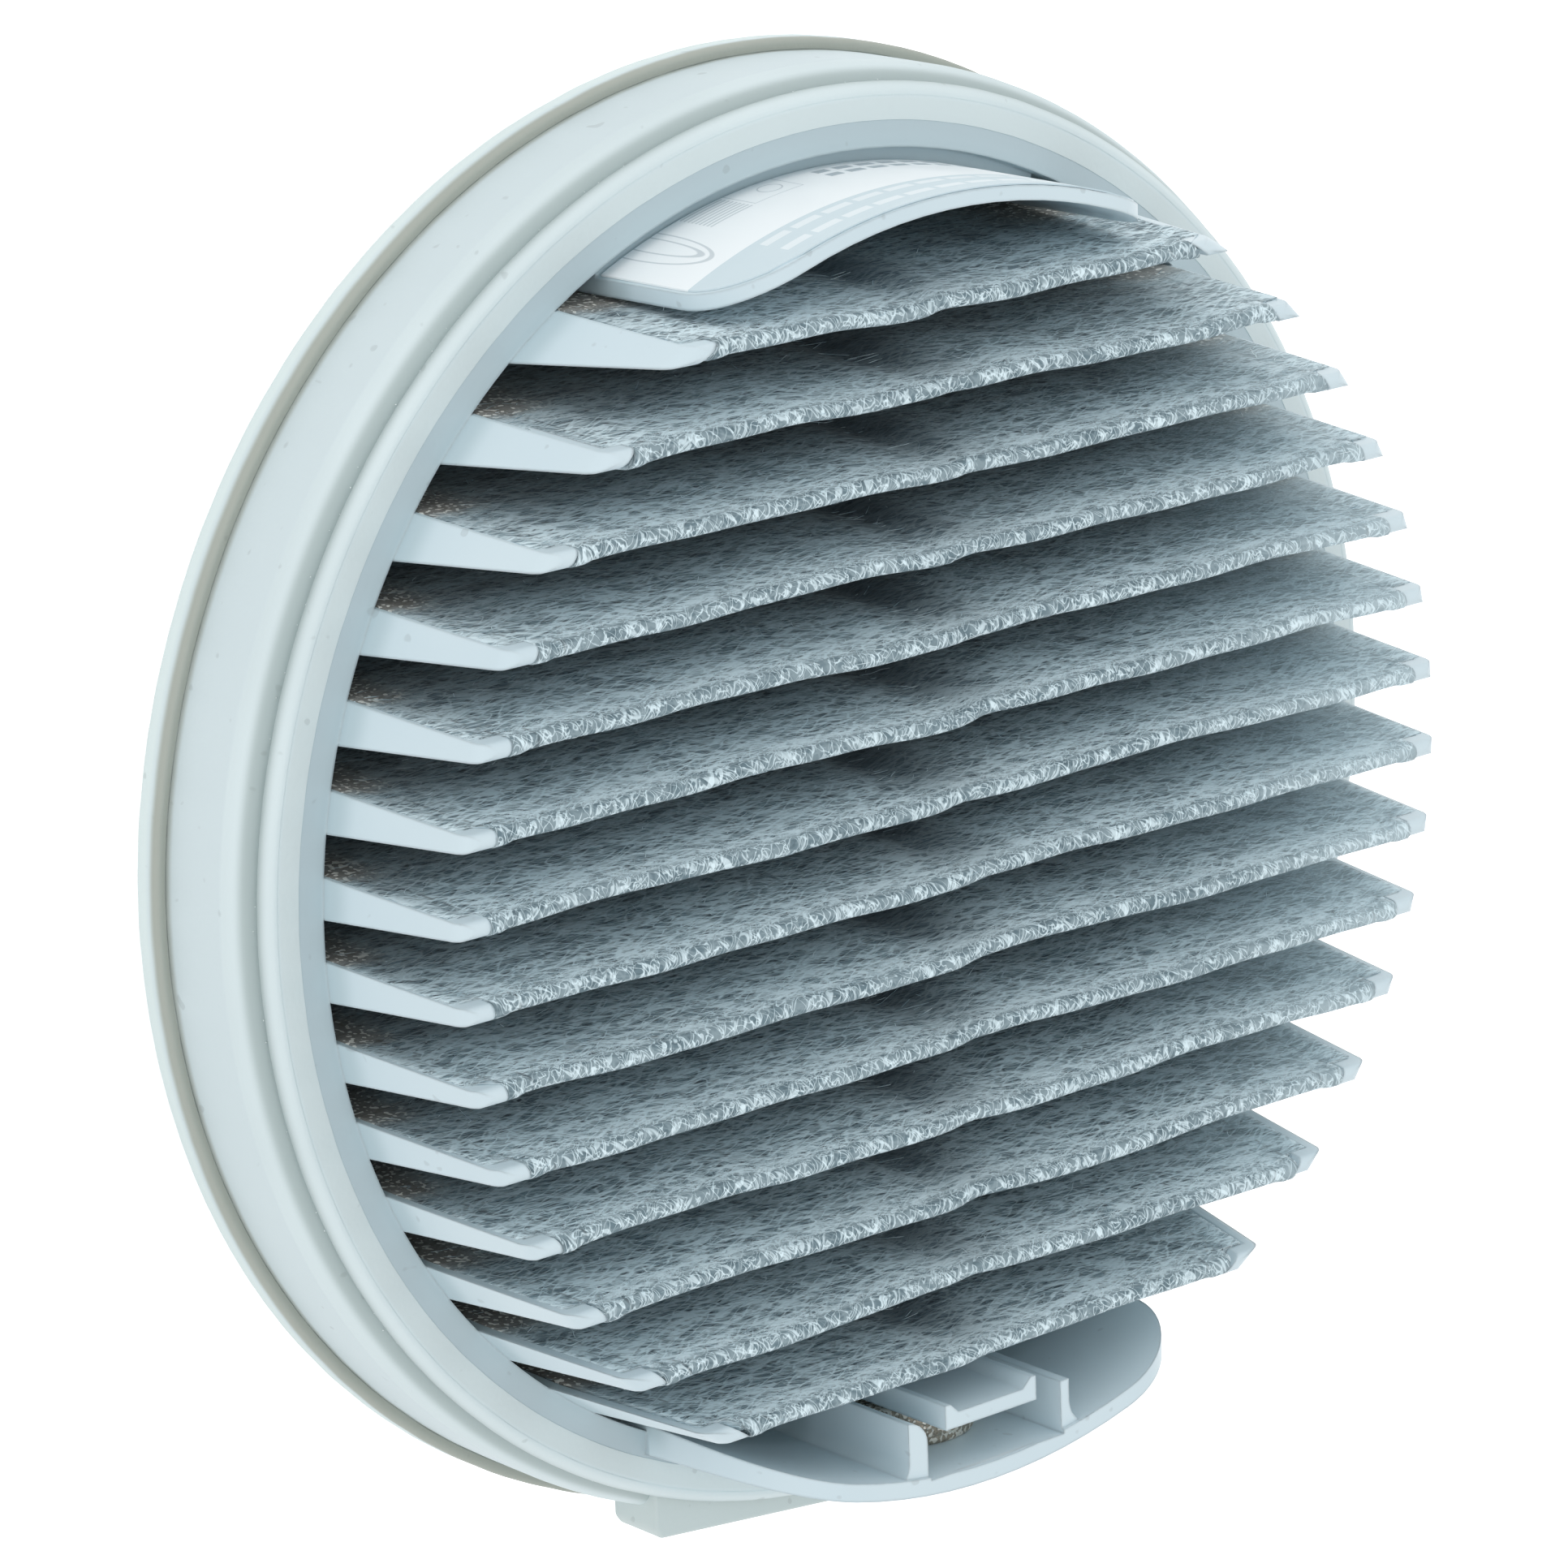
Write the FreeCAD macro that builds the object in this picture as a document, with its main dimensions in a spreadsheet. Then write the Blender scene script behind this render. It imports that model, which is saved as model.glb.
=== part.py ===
import FreeCAD, Part
import math
import os
import re
import Sketcher

# A round pleated filter of a handheld vacuum cleaner. It lies on its back, with +Z along the filter axis
# towards the pleat tips, +Y towards the tab and +X along the pleats. The origin is on the axis, in the
# plane that the rear seal lies in. Every size is in millimetres.

DIMENSIONS = {
    # The moulded ring. Heights run from the plane that the filter lies in.
    "opening_radius": 48.17,
    "ring_wall": 2.09,
    "ring_front": 12.53,
    "ring_front_slope": 0.33,
    "frame_back": 0.5,
    # The soft seals round the ring
    "rear_seal_height": 2.7,
    "rim_step": 0.9,
    "band_thickness": 3.84,
    "band_length": 5.7,
    "shoulder_length": 2.3,
    "shoulder_drop": 1.75,
    "shoulder_radius": 4.0,
    "bead_rise": 0.45,
    "bead_side_height": 0.7,
    "bead_round": 1.1,
    # The locating key under the collar seal
    "key_start": 6.0,
    "key_length": 5.0,
    "key_left": 20.1,
    "key_right": 2.6,
    "key_proud": 0.1,
    "key_tilt": 5.9,
    "key_bevel": 0.5,
    "key_bevel_height": 0.75,
    # The pleats
    "pleat_count": 14,
    "pleat_tip": 26.45,
    "sheet_thickness": 0.5,
    "tip_fold_radius": 0.05,
    "valley_fold_radius": 1.03,
    "media_lift": 1.1,
    # The ribs that hold the pleat ends
    "rib_thickness": 1.0,
    "rib_draft": 1.17,
    "rib_cover": 0.12,
    "nose_return": 2.6,
    "nose_depth": 1.6,
    "nose_round": 1.4,
    "web_height": 2.1,
    "bar_width": 2.4,
    "bar_gap": 0.1,
    # The tab at the top
    "tab_step": 1.17,
    "tab_wall": 1.05,
    "tab_half_width": 20.5,
    "tab_flare": 0.2,
    "tab_reach": 26.3,
    "tab_foot": 9.0,
    "tab_corner": 6.2,
    "tab_pleat_gap": 0.52,
    "label_inset": 0.3,
    "label_thickness": 0.12,
    # The guard at the bottom, with the webs beside the magnet pocket
    "guard_lip": 0.52,
    "guard_root_wall": 2.2,
    "guard_tip_wall": 1.35,
    "guard_half_width": 21.5,
    "guard_flare": 1.1,
    "guard_reach": 26.1,
    "guard_corner": 8.0,
    "pocket_fill": 0.2,
    "pocket_left_gap": 1.4,
    "pocket_right_gap": 1.8,
    "left_web": 1.8,
    "left_web_rise": 4.75,
    "left_web_round": 1.9,
    "left_web_fillet": 1.6,
    "right_web": 0.85,
    "right_web_rise": 4.05,
    "right_web_fillet": 2.2,
    "web_reach": 25.8,
    # The magnet and the tongue over it
    "magnet_radius": 5.0,
    "magnet_thickness": 3.0,
    "magnet_x": 0.1,
    "magnet_height": 16.2,
    "magnet_gap": 0.45,
    "tongue_left": 4.75,
    "tongue_right": 4.2,
    "tongue_thickness": 1.9,
    "tongue_reach": 26.1,
    "channel_depth": 0.75,
    "channel_rim": 0.5,
    "channel_slope": 0.8,
    "tongue_pleat_gap": 1.47,
}

DERIVED = {
    "seat_radius": "opening_radius + ring_wall",
    "root_radius": "opening_radius + ring_wall / 2",
    "ring_outer_front": "ring_front - ring_front_slope",
    "band_radius": "seat_radius + band_thickness",
    "rim_radius": "band_radius + rim_step",
    "band_front": "rear_seal_height + band_length",
    "groove_radius": "band_radius - shoulder_drop",
    "groove_front": "band_front + shoulder_length",
    "bead_radius": "groove_radius + bead_rise",
    "key_flat": "band_radius + key_proud",
    "web_top": "frame_back + web_height",
    "media_back": "frame_back + media_lift",
    "tab_outer": "opening_radius - tab_step",
    "tab_inner": "tab_outer - tab_wall",
    "tab_edge": "sqrt(tab_inner^2 - tab_half_width^2)",
    "guard_inner": "opening_radius - guard_lip",
    "guard_root_outer": "guard_inner + guard_root_wall",
    "guard_tip_outer": "guard_inner + guard_tip_wall",
    "pocket_floor": "guard_inner - pocket_fill",
    "web_root_radius": "guard_inner + guard_tip_wall / 2",
    "pocket_left": "magnet_radius + pocket_left_gap - magnet_x",
    "pocket_right": "magnet_radius + pocket_right_gap + magnet_x",
    "tongue_lower": "pocket_floor - magnet_thickness - magnet_gap",
    "tongue_upper": "tongue_lower - tongue_thickness",
    "tip_fold_outer": "tip_fold_radius + sheet_thickness",
    "tip_fold_height": "pleat_tip - tip_fold_outer",
    "valley_fold_outer": "valley_fold_radius + sheet_thickness",
    "valley_fold_height": "media_back + valley_fold_outer",
    "fold_spacing": "tip_fold_height - valley_fold_height",
    # The pleats share out the room between the tab's edges and the tongue, each a little over a valley
    # fold narrower than the pitch at the root.
    "pleat_room": "tab_edge - tab_pleat_gap + tongue_upper - tongue_pleat_gap",
    "pitch": "(pleat_room - tip_fold_outer / 2 + 1.5 * valley_fold_radius) / (pleat_count - 0.25)",
    "last_pleat": "tongue_upper - tongue_pleat_gap - pitch / 2 + valley_fold_radius",
    "first_pleat": "(pleat_count - 1) * pitch - last_pleat",
    # Each flank is the straight line that touches a tip fold on one side and a valley fold on the other.
    "fold_distance": "sqrt((pitch / 2)^2 + fold_spacing^2)",
    "flank_angle": "(atan(pitch / 2 / fold_spacing)"
                   " - asin((tip_fold_outer + valley_fold_radius) / fold_distance)) / 1 deg",
    "flank_cos": "cos(flank_angle)",
    "flank_sin": "sin(flank_angle)",
    "rib_tip_half": "(tip_fold_outer - (pleat_tip - tip_fold_height) * flank_sin) / flank_cos + rib_cover",
    "rib_root_half": "(tip_fold_outer + (tip_fold_height - frame_back) * flank_sin) / flank_cos + rib_cover",
    "nose_radius": "opening_radius - rib_draft",
    "nose_start": "pleat_tip - nose_depth",
}

doc = FreeCAD.newDocument("vacuum_filter")
sheet = doc.addObject("Spreadsheet::Sheet", "Sizes")


def fill_sheet():
    """Writes the driving sizes as plain numbers and the sizes that follow from them as formulas."""
    row = 1
    for alias, size in DIMENSIONS.items():
        sheet.set(f"A{row}", alias)
        sheet.set(f"B{row}", str(size))
        sheet.setAlias(f"B{row}", alias)
        row += 1
    for alias, text in DERIVED.items():
        sheet.set(f"A{row}", alias)
        sheet.setAlias(f"B{row}", alias)
        sheet.set(f"B{row}", "=" + text)
        row += 1
    doc.recompute()


def size(text):
    """The number that a formula of sheet sizes gives."""
    return float(sheet.evalExpression(text))


def linked(text):
    """The formula as other objects read it, with each size taken from the sheet."""
    names = {*DIMENSIONS, *DERIVED}
    return re.sub(r"[a-z_]+", lambda word: "Sizes." + word[0] if word[0] in names else word[0], text)


def bind(piece, **formulas):
    """Ties properties of an object to formulas of sheet sizes."""
    for name, text in formulas.items():
        piece.setExpression(name, linked(text))


def bind_place(piece, **formulas):
    """Ties the position of an object to formulas of sheet sizes."""
    for axis, text in formulas.items():
        piece.setExpression("Placement.Base." + axis, linked(text))


def new_body(name):
    """A body whose Label is its name."""
    return doc.addObject("PartDesign::Body", name)


def origin_feature(body, role):
    """A plane or axis of the body's own origin."""
    return next(item for item in body.Origin.OriginFeatures if item.Role == role)


def arc_between(start, end, radius, turn):
    """The short arc between two points that turns left for 1 and right for -1."""
    chord = end - start
    middle = (start + end) / 2
    reach = math.sqrt(max(radius**2 - (chord.Length / 2)**2, 0))
    left = FreeCAD.Vector(-chord.y, chord.x, 0).normalize()
    centre = middle + left * reach * turn
    first, last = (start, end) if turn > 0 else (end, start)
    circle = Part.Circle(centre, FreeCAD.Vector(0, 0, 1), radius)
    return Part.ArcOfCircle(circle, circle.parameter(first), circle.parameter(last))


def outline(body, role, name, corners):
    """A closed outline on an origin plane of the body.

    A corner is (across, up) at the end of a straight edge, or (across, up, radius, turn) at the end of
    a round one, all of them formulas but the turn.
    """
    sketch = body.newObject("Sketcher::SketchObject", name)
    sketch.AttachmentSupport = (origin_feature(body, role), [""])
    sketch.MapMode = "FlatFace"
    points = [FreeCAD.Vector(size(corner[0]), size(corner[1]), 0) for corner in corners]
    ends = []
    for index, corner in enumerate(corners):
        start, end = points[index - 1], points[index]
        if len(corner) == 2:
            sketch.addGeometry(Part.LineSegment(start, end))
            ends.append((1, 2))
            continue
        radius, turn = corner[2], corner[3]
        sketch.addGeometry(arc_between(start, end, size(radius), turn))
        ends.append((1, 2) if turn > 0 else (2, 1))
        constraint = sketch.addConstraint(Sketcher.Constraint("Radius", index, size(radius)))
        sketch.setExpression(f"Constraints[{constraint}]", linked(radius))
    for index, corner in enumerate(corners):
        before = (index - 1) % len(corners)
        sketch.addConstraint(Sketcher.Constraint("Coincident", before, ends[before][1], index, ends[index][0]))
        for kind, text, length in zip(("DistanceX", "DistanceY"), corner[:2], points[index]):
            place = Sketcher.Constraint(kind, -1, 1, index, ends[index][1], length)
            constraint = sketch.addConstraint(place)
            sketch.setExpression(f"Constraints[{constraint}]", linked(text))
    return sketch


def turned(body, name, corners):
    """Turns a section of radii and heights round the filter axis."""
    sketch = outline(body, "XZ_Plane", name + "_section", corners)
    revolution = body.newObject("PartDesign::Revolution", name)
    revolution.Profile = sketch
    revolution.ReferenceAxis = (sketch, ["V_Axis"])
    revolution.Angle = 360
    return revolution


def turned_body(name, corners):
    """A body with one turned shape."""
    body = new_body(name)
    turned(body, name + "_turned", corners)
    return body


def padded(body, name, sketch, length, backwards=False, both_ways=False):
    """Pads a sketch along its plane's normal, or against it, or half of the length each way."""
    pad = body.newObject("PartDesign::Pad", name)
    pad.Profile = sketch
    pad.Reversed = backwards
    if both_ways:
        pad.SideType = "Symmetric"
    bind(pad, Length=length)
    return pad


def raised(body, name, corners, foot, height):
    """Pads an outline on the XY plane upwards from a foot height."""
    sketch = outline(body, "XY_Plane", name + "_outline", corners)
    sketch.setExpression("AttachmentOffset.Base.z", linked(foot))
    return padded(body, name, sketch, height)


def boolean(kind, name, base, tool):
    """A Part::Cut or Part::Common of two objects."""
    piece = doc.addObject("Part::" + kind, name)
    piece.Base = base
    piece.Tool = tool
    return piece


def fused(name, pieces):
    """Joins several objects."""
    piece = doc.addObject("Part::MultiFuse", name)
    piece.Shapes = pieces
    return piece


def box(name, left, right, low, high, bottom, top):
    """A box between six formulas."""
    piece = doc.addObject("Part::Box", name)
    bind(piece, Length=f"{right} - ({left})", Width=f"{high} - ({low})", Height=f"{top} - ({bottom})")
    bind_place(piece, x=left, y=low, z=bottom)
    return piece


def make_ring():
    """The ring that carries everything, with a front face that slopes down outwards."""
    return turned_body("ring", [
        ("opening_radius", "frame_back"),
        ("seat_radius", "frame_back"),
        ("seat_radius", "ring_outer_front"),
        ("opening_radius", "ring_front"),
    ])


def make_pleat_ends():
    """A floor disc with one tapered, round-topped tooth for each pleat, as long as the ring is wide."""
    floor = doc.addObject("Part::Cylinder", "floor_disc")
    bind(floor, Radius="root_radius", Height="web_height")
    bind_place(floor, z="frame_back")
    body = new_body("teeth")
    sketch = outline(body, "YZ_Plane", "tooth_section", [
        ("first_pleat - rib_root_half", "frame_back"),
        ("first_pleat + rib_root_half", "frame_back"),
        ("first_pleat + rib_tip_half", "pleat_tip - rib_tip_half"),
        ("first_pleat", "pleat_tip", "rib_tip_half", 1),
        ("first_pleat - rib_tip_half", "pleat_tip - rib_tip_half", "rib_tip_half", 1),
    ])
    padded(body, "tooth", sketch, "2 * rim_radius", both_ways=True)
    repeat_pleats(body, "tooth")
    return fused("floor_and_teeth", [floor, body])


def repeat_pleats(body, feature):
    """Repeats a feature from the first pleat to the last."""
    pattern = body.newObject("PartDesign::LinearPattern", feature + "_row")
    pattern.Originals = [doc.getObject(feature)]
    pattern.Direction = (origin_feature(body, "Y_Axis"), [""])
    pattern.Reversed = True
    bind(pattern, Length="first_pleat + last_pleat", Occurrences="pleat_count")
    body.Tip = pattern


def make_rib_envelope():
    """The space that the pleat ends fill: inside the ring, then drafted inwards to rounded noses."""
    return turned_body("rib_envelope", [
        ("0", "frame_back"),
        ("root_radius", "frame_back"),
        ("root_radius", "ring_front - ring_wall"),
        ("opening_radius", "ring_front"),
        ("nose_radius", "pleat_tip - nose_round"),
        ("nose_radius - nose_round", "pleat_tip", "nose_round", 1),
        ("0", "pleat_tip"),
    ])


def make_side_room(name, inset, bottom, top_radius, top):
    """The space between the two rows of ribs, taken in by an inset along X on each side."""
    halves = []
    for side, shift in (("left", inset), ("right", "-" + inset)):
        half = turned_body(f"{name}_{side}", [
            ("0", bottom),
            ("opening_radius", bottom),
            ("opening_radius", "ring_front"),
            (top_radius, top),
            ("0", top),
        ])
        bind_place(half, x=shift)
        halves.append(half)
    return boolean("Common", name, *halves)


def make_media_room():
    """The space for the folded sheet: between the rib plates, and narrower between the noses."""
    radius_at_start = "(opening_radius - rib_draft * (nose_start - ring_front) / (pleat_tip - ring_front))"
    above = "pleat_tip + nose_depth"
    radius_above = f"(opening_radius - rib_draft * ({above} - ring_front) / (pleat_tip - ring_front))"
    ribs = make_side_room("room_between_ribs", "rib_thickness", "0", radius_at_start, "nose_start")
    noses = make_side_room("room_between_noses", "nose_return", "0", radius_above, above)
    room = fused("room_of_any_length", [ribs, noses])
    ends = box("pleat_pack_ends", "-rim_radius", "rim_radius",
               "-last_pleat - pitch / 2", "first_pleat + pitch / 2", "-frame_back", above + " + 1")
    return boolean("Common", "media_room", room, ends)


def make_ribs(media_room):
    """The ribs, their noses and the webs between their roots."""
    ends = boolean("Common", "solid_pleat_ends", make_pleat_ends(), make_rib_envelope())
    return boolean("Cut", "ribs", ends, media_room)


def make_centre_bar():
    """The bar behind the middle of the pleats, where their folds are nipped."""
    return box("centre_bar", "-bar_width / 2", "bar_width / 2",
               "-last_pleat - pitch", "first_pleat + pitch", "frame_back", "media_back - bar_gap")


def rounded_panel(name, half_width, flare, foot, reach, corner, upwards):
    """A panel outline with two round front corners, padded from the axis towards +Y or -Y.

    It is wider at its foot by a flare on each side.
    """
    body = new_body(name)
    sketch = outline(body, "XZ_Plane", name + "_outline", [
        (f"-{half_width} - {flare}", foot),
        (f"{half_width} + {flare}", foot),
        (half_width, f"{reach} - {corner}"),
        (f"{half_width} - {corner}", reach, corner, 1),
        (f"{corner} - {half_width}", reach),
        ("-" + half_width, f"{reach} - {corner}", corner, 1),
    ])
    padded(body, name + "_pad", sketch, "2 * rim_radius", backwards=upwards)
    return body


def make_tab():
    """The curved tab above the first pleat. A shallow groove parts it from the ring's front face."""
    shell = turned_body("tab_shell", [
        ("tab_inner", "tab_foot"),
        ("root_radius", "tab_foot"),
        ("root_radius", "ring_outer_front - tab_step"),
        ("tab_outer", "ring_outer_front - tab_step"),
        ("tab_outer", "tab_reach"),
        ("tab_inner", "tab_reach"),
    ])
    panel = rounded_panel("tab_panel", "tab_half_width", "tab_flare", "tab_foot", "tab_reach", "tab_corner", True)
    return boolean("Common", "tab", shell, panel)


def make_guard():
    """The curved guard below the last pleat. Its outside is drafted and the magnet's pocket is cut flat."""
    shell = turned_body("guard_shell", [
        ("guard_inner", "frame_back"),
        ("root_radius", "frame_back"),
        ("root_radius", "ring_outer_front - ring_front_slope"),
        ("guard_root_outer", "ring_outer_front - ring_front_slope"),
        ("guard_tip_outer", "guard_reach"),
        ("guard_inner", "guard_reach"),
    ])
    panel = rounded_panel("guard_panel", "guard_half_width", "guard_flare", "frame_back",
                          "guard_reach", "guard_corner", False)
    guard = boolean("Common", "full_guard", shell, panel)
    pocket = box("magnet_pocket", "-pocket_left", "pocket_right",
                 "-pocket_floor", "-tongue_upper", "frame_back", "guard_reach + guard_lip")
    return boolean("Cut", "guard", guard, pocket)


def on_guard(across):
    """How far down the middle of the guard's wall is at a place across it."""
    return f"-sqrt(web_root_radius^2 - ({across})^2)"


def make_pocket_webs():
    """The two webs beside the magnet pocket, joined by its flat floor."""
    left_face = "-pocket_left - left_web"
    left_top = "-pocket_floor + left_web_rise"
    left_foot = left_face + " - left_web_fillet"
    right_face = "pocket_right + right_web"
    right_top = "-pocket_floor + right_web_rise"
    right_foot = right_face + " + right_web_fillet"
    right_bend = on_guard(right_foot)
    left_bend = on_guard(left_foot)
    body = new_body("pocket_webs")
    raised(body, "pocket_webs_pad", [
        (left_face, left_bend + " + left_web_fillet", "left_web_fillet", 1),
        (left_face, left_top),
        ("-pocket_left", left_top + " - left_web_round", "left_web_round", -1),
        ("-pocket_left", "-pocket_floor"),
        ("pocket_right", "-pocket_floor"),
        ("pocket_right", right_top),
        (right_face, right_top),
        (right_face, right_bend + " + right_web_fillet"),
        (right_foot, right_bend, "right_web_fillet", 1),
        (left_foot, left_bend, "web_root_radius", -1),
    ], "frame_back", "web_reach - frame_back")
    return body


def make_tongue():
    """The tongue that keeps the magnet in its pocket, with a shallow channel along its upper face."""
    body = new_body("tongue")
    left_rim = "-tongue_left + channel_rim"
    right_rim = "tongue_right - channel_rim"
    raised(body, "tongue_pad", [
        ("-tongue_left", "-tongue_lower"),
        ("tongue_right", "-tongue_lower"),
        ("tongue_right", "-tongue_upper"),
        (right_rim, "-tongue_upper"),
        (right_rim + " - channel_slope", "-tongue_upper - channel_depth"),
        (left_rim + " + channel_slope", "-tongue_upper - channel_depth"),
        (left_rim, "-tongue_upper"),
        ("-tongue_left", "-tongue_upper"),
    ], "frame_back", "tongue_reach - frame_back")
    return body


def make_filter_frame(media_room):
    """The one moulding: ring, ribs, centre bar, tab, guard, webs and tongue."""
    return fused("filter_frame", [
        make_ring(),
        make_ribs(media_room),
        make_centre_bar(),
        make_tab(),
        make_guard(),
        make_pocket_webs(),
        make_tongue(),
    ])


def make_pleated_media(media_room):
    """The folded sheet. One pleat, from valley to valley, is repeated and trimmed to its room."""
    body = new_body("folded_sheet")
    left = "first_pleat - pitch / 2"
    right = "first_pleat + pitch / 2"

    def touch(centre, height, radius, side):
        """Where a fold of this radius passes into the flank on one side of the pleat."""
        return (f"{centre} + {side} * ({radius}) * flank_cos", f"{height} + ({radius}) * flank_sin")

    tip = "tip_fold_height"
    valley = "valley_fold_height"
    sketch = outline(body, "YZ_Plane", "pleat_section", [
        (left, "media_back"),
        (*touch(left, valley, "-valley_fold_outer", "-1"), "valley_fold_outer", 1),
        touch("first_pleat", tip, "tip_fold_radius", "-1"),
        (*touch("first_pleat", tip, "tip_fold_radius", "1"), "tip_fold_radius", -1),
        touch(right, valley, "-valley_fold_outer", "1"),
        (right, "media_back", "valley_fold_outer", 1),
        (right, "media_back + sheet_thickness"),
        (*touch(right, valley, "-valley_fold_radius", "1"), "valley_fold_radius", -1),
        touch("first_pleat", tip, "tip_fold_outer", "1"),
        (*touch("first_pleat", tip, "tip_fold_outer", "-1"), "tip_fold_outer", 1),
        touch(left, valley, "-valley_fold_radius", "-1"),
        (left, "media_back + sheet_thickness", "valley_fold_radius", -1),
    ])
    padded(body, "pleat", sketch, "2 * rim_radius", both_ways=True)
    repeat_pleats(body, "pleat")
    return boolean("Common", "pleated_media", body, media_room)


def make_rear_seal():
    """The soft ring that the filter lies on, rounded at its front outer edge."""
    return turned_body("rear_seal", [
        ("seat_radius", "0"),
        ("rim_radius", "0"),
        ("rim_radius", "rear_seal_height - rim_step"),
        ("band_radius", "rear_seal_height", "rim_step", 1),
        ("seat_radius", "rear_seal_height"),
    ])


def make_collar_seal():
    """The soft collar: a band, a shoulder down to a groove, a rounded bead, and the key below."""
    body = new_body("collar_seal")
    bead_front = "groove_front + bead_side_height"
    turned(body, "collar", [
        ("seat_radius", "rear_seal_height"),
        ("band_radius", "rear_seal_height"),
        ("band_radius", "band_front"),
        ("groove_radius", "groove_front", "shoulder_radius", 1),
        ("bead_radius", bead_front, "bead_side_height", 1),
        ("bead_radius - bead_round", "ring_outer_front", "bead_round", 1),
        ("seat_radius", "ring_outer_front"),
    ])
    root = "seat_radius + band_thickness / 2"

    def on_flat(across):
        """The depth of the key's tilted flat at a place across it."""
        return f"-(key_flat + ({across}) * sin(key_tilt)) / cos(key_tilt)"

    bevelled = "key_bevel - key_left"
    raised(body, "key", [
        ("-key_left", on_flat(bevelled) + " + key_bevel_height"),
        (bevelled, on_flat(bevelled)),
        ("key_right", on_flat("key_right")),
        ("key_right", f"-sqrt(({root})^2 - key_right^2)"),
        ("-key_left", f"-sqrt(({root})^2 - key_left^2)", root, -1),
    ], "key_start", "key_length")
    return body


def make_label():
    """The film on the outside of the tab."""
    film = turned_body("label_film", [
        ("tab_outer", "ring_front + label_inset"),
        ("tab_outer + label_thickness", "ring_front + label_inset"),
        ("tab_outer + label_thickness", "tab_reach"),
        ("tab_outer", "tab_reach"),
    ])
    panel = rounded_panel("label_panel", "(tab_half_width - label_inset)", "tab_flare", "ring_front",
                          "(tab_reach - label_inset)", "(tab_corner - label_inset)", True)
    return boolean("Common", "instruction_label", film, panel)


def make_magnet():
    """The disc magnet, flat on the pocket floor."""
    magnet = doc.addObject("Part::Cylinder", "magnet")
    magnet.Placement.Rotation = FreeCAD.Rotation(FreeCAD.Vector(1, 0, 0), -90)
    bind(magnet, Radius="magnet_radius", Height="magnet_thickness")
    bind_place(magnet, x="magnet_x", y="-pocket_floor", z="magnet_height")
    return magnet


def check_document():
    """Stops if any object of the document failed."""
    for item in doc.Objects:
        broken = {"Invalid", "Error"} & set(item.State)
        if broken:
            raise RuntimeError(f"{item.Name} is {broken}")


def export_parts(nodes):
    """Writes each sub-part's solid to the parts folder under its node name."""
    os.makedirs("parts", exist_ok=True)
    for node in nodes:
        shape = node.Shape
        if shape.isNull() or not shape.isValid():
            raise RuntimeError(f"{node.Label} has no valid shape")
        print(f"{node.Label}: {len(shape.Solids)} solid, {shape.Volume:.1f} mm3, {shape.BoundBox}")
        shape.exportStep(f"parts/{node.Label}.step")


fill_sheet()
room = make_media_room()
sub_parts = [
    make_filter_frame(room),
    make_pleated_media(room),
    make_rear_seal(),
    make_collar_seal(),
    make_label(),
    make_magnet(),
]
doc.recompute()
check_document()
export_parts(sub_parts)
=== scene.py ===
"""Looks of a round pleated vacuum cleaner filter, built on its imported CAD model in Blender 4.5.

The filter lies on its back: +Z runs along its axis to the pleat tips, +Y to the tab, +X along the pleats.
Sizes in the classes are in millimetres, as in the CAD source, and meshes are in metres.
"""

import logging
import math
from dataclasses import dataclass, field
from enum import Enum
from functools import reduce

import bpy
import numpy as np
from mathutils import Matrix, Vector


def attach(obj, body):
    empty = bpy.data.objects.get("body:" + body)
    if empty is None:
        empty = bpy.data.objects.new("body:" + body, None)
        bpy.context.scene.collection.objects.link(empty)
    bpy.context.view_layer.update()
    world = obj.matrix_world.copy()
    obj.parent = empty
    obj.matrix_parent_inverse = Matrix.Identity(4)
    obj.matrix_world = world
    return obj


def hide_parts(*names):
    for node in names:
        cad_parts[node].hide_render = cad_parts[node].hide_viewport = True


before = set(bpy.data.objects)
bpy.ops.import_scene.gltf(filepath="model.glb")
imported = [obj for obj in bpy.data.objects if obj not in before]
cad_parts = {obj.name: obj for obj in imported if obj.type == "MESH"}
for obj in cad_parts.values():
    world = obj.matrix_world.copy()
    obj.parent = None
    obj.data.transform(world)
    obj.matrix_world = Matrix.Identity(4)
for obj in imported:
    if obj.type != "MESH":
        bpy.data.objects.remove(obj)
log = logging.getLogger("vacuum_filter")

MM = 0.001
FULL_TURN = 2 * math.pi
BODY = "root"
PHOTO_SIDE = 1932
FLAT_MAP = "sheet"

Socket = bpy.types.NodeSocket
Value = Socket | float | int | bool | str | tuple | bpy.types.Material
Inputs = dict[str | int, Value]
Colour = tuple[float, float, float, float]
Pair = tuple[float, float]
Triple = tuple[float, float, float]


def srgb(red: float, green: float, blue: float) -> Colour:
    """Reads a screen colour, each part given from 0 to 255.

    Args:
        red: Its red.
        green: Its green.
        blue: Its blue.

    Returns:
        The linear colour.
    """
    def straight(level: float) -> float:
        """Undoes the screen's curve for one channel."""
        share = level / 255
        return share / 12.92 if share <= 0.04045 else ((share + 0.055) / 1.055) ** 2.4

    return straight(red), straight(green), straight(blue), 1.0


# Node trees

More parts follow.
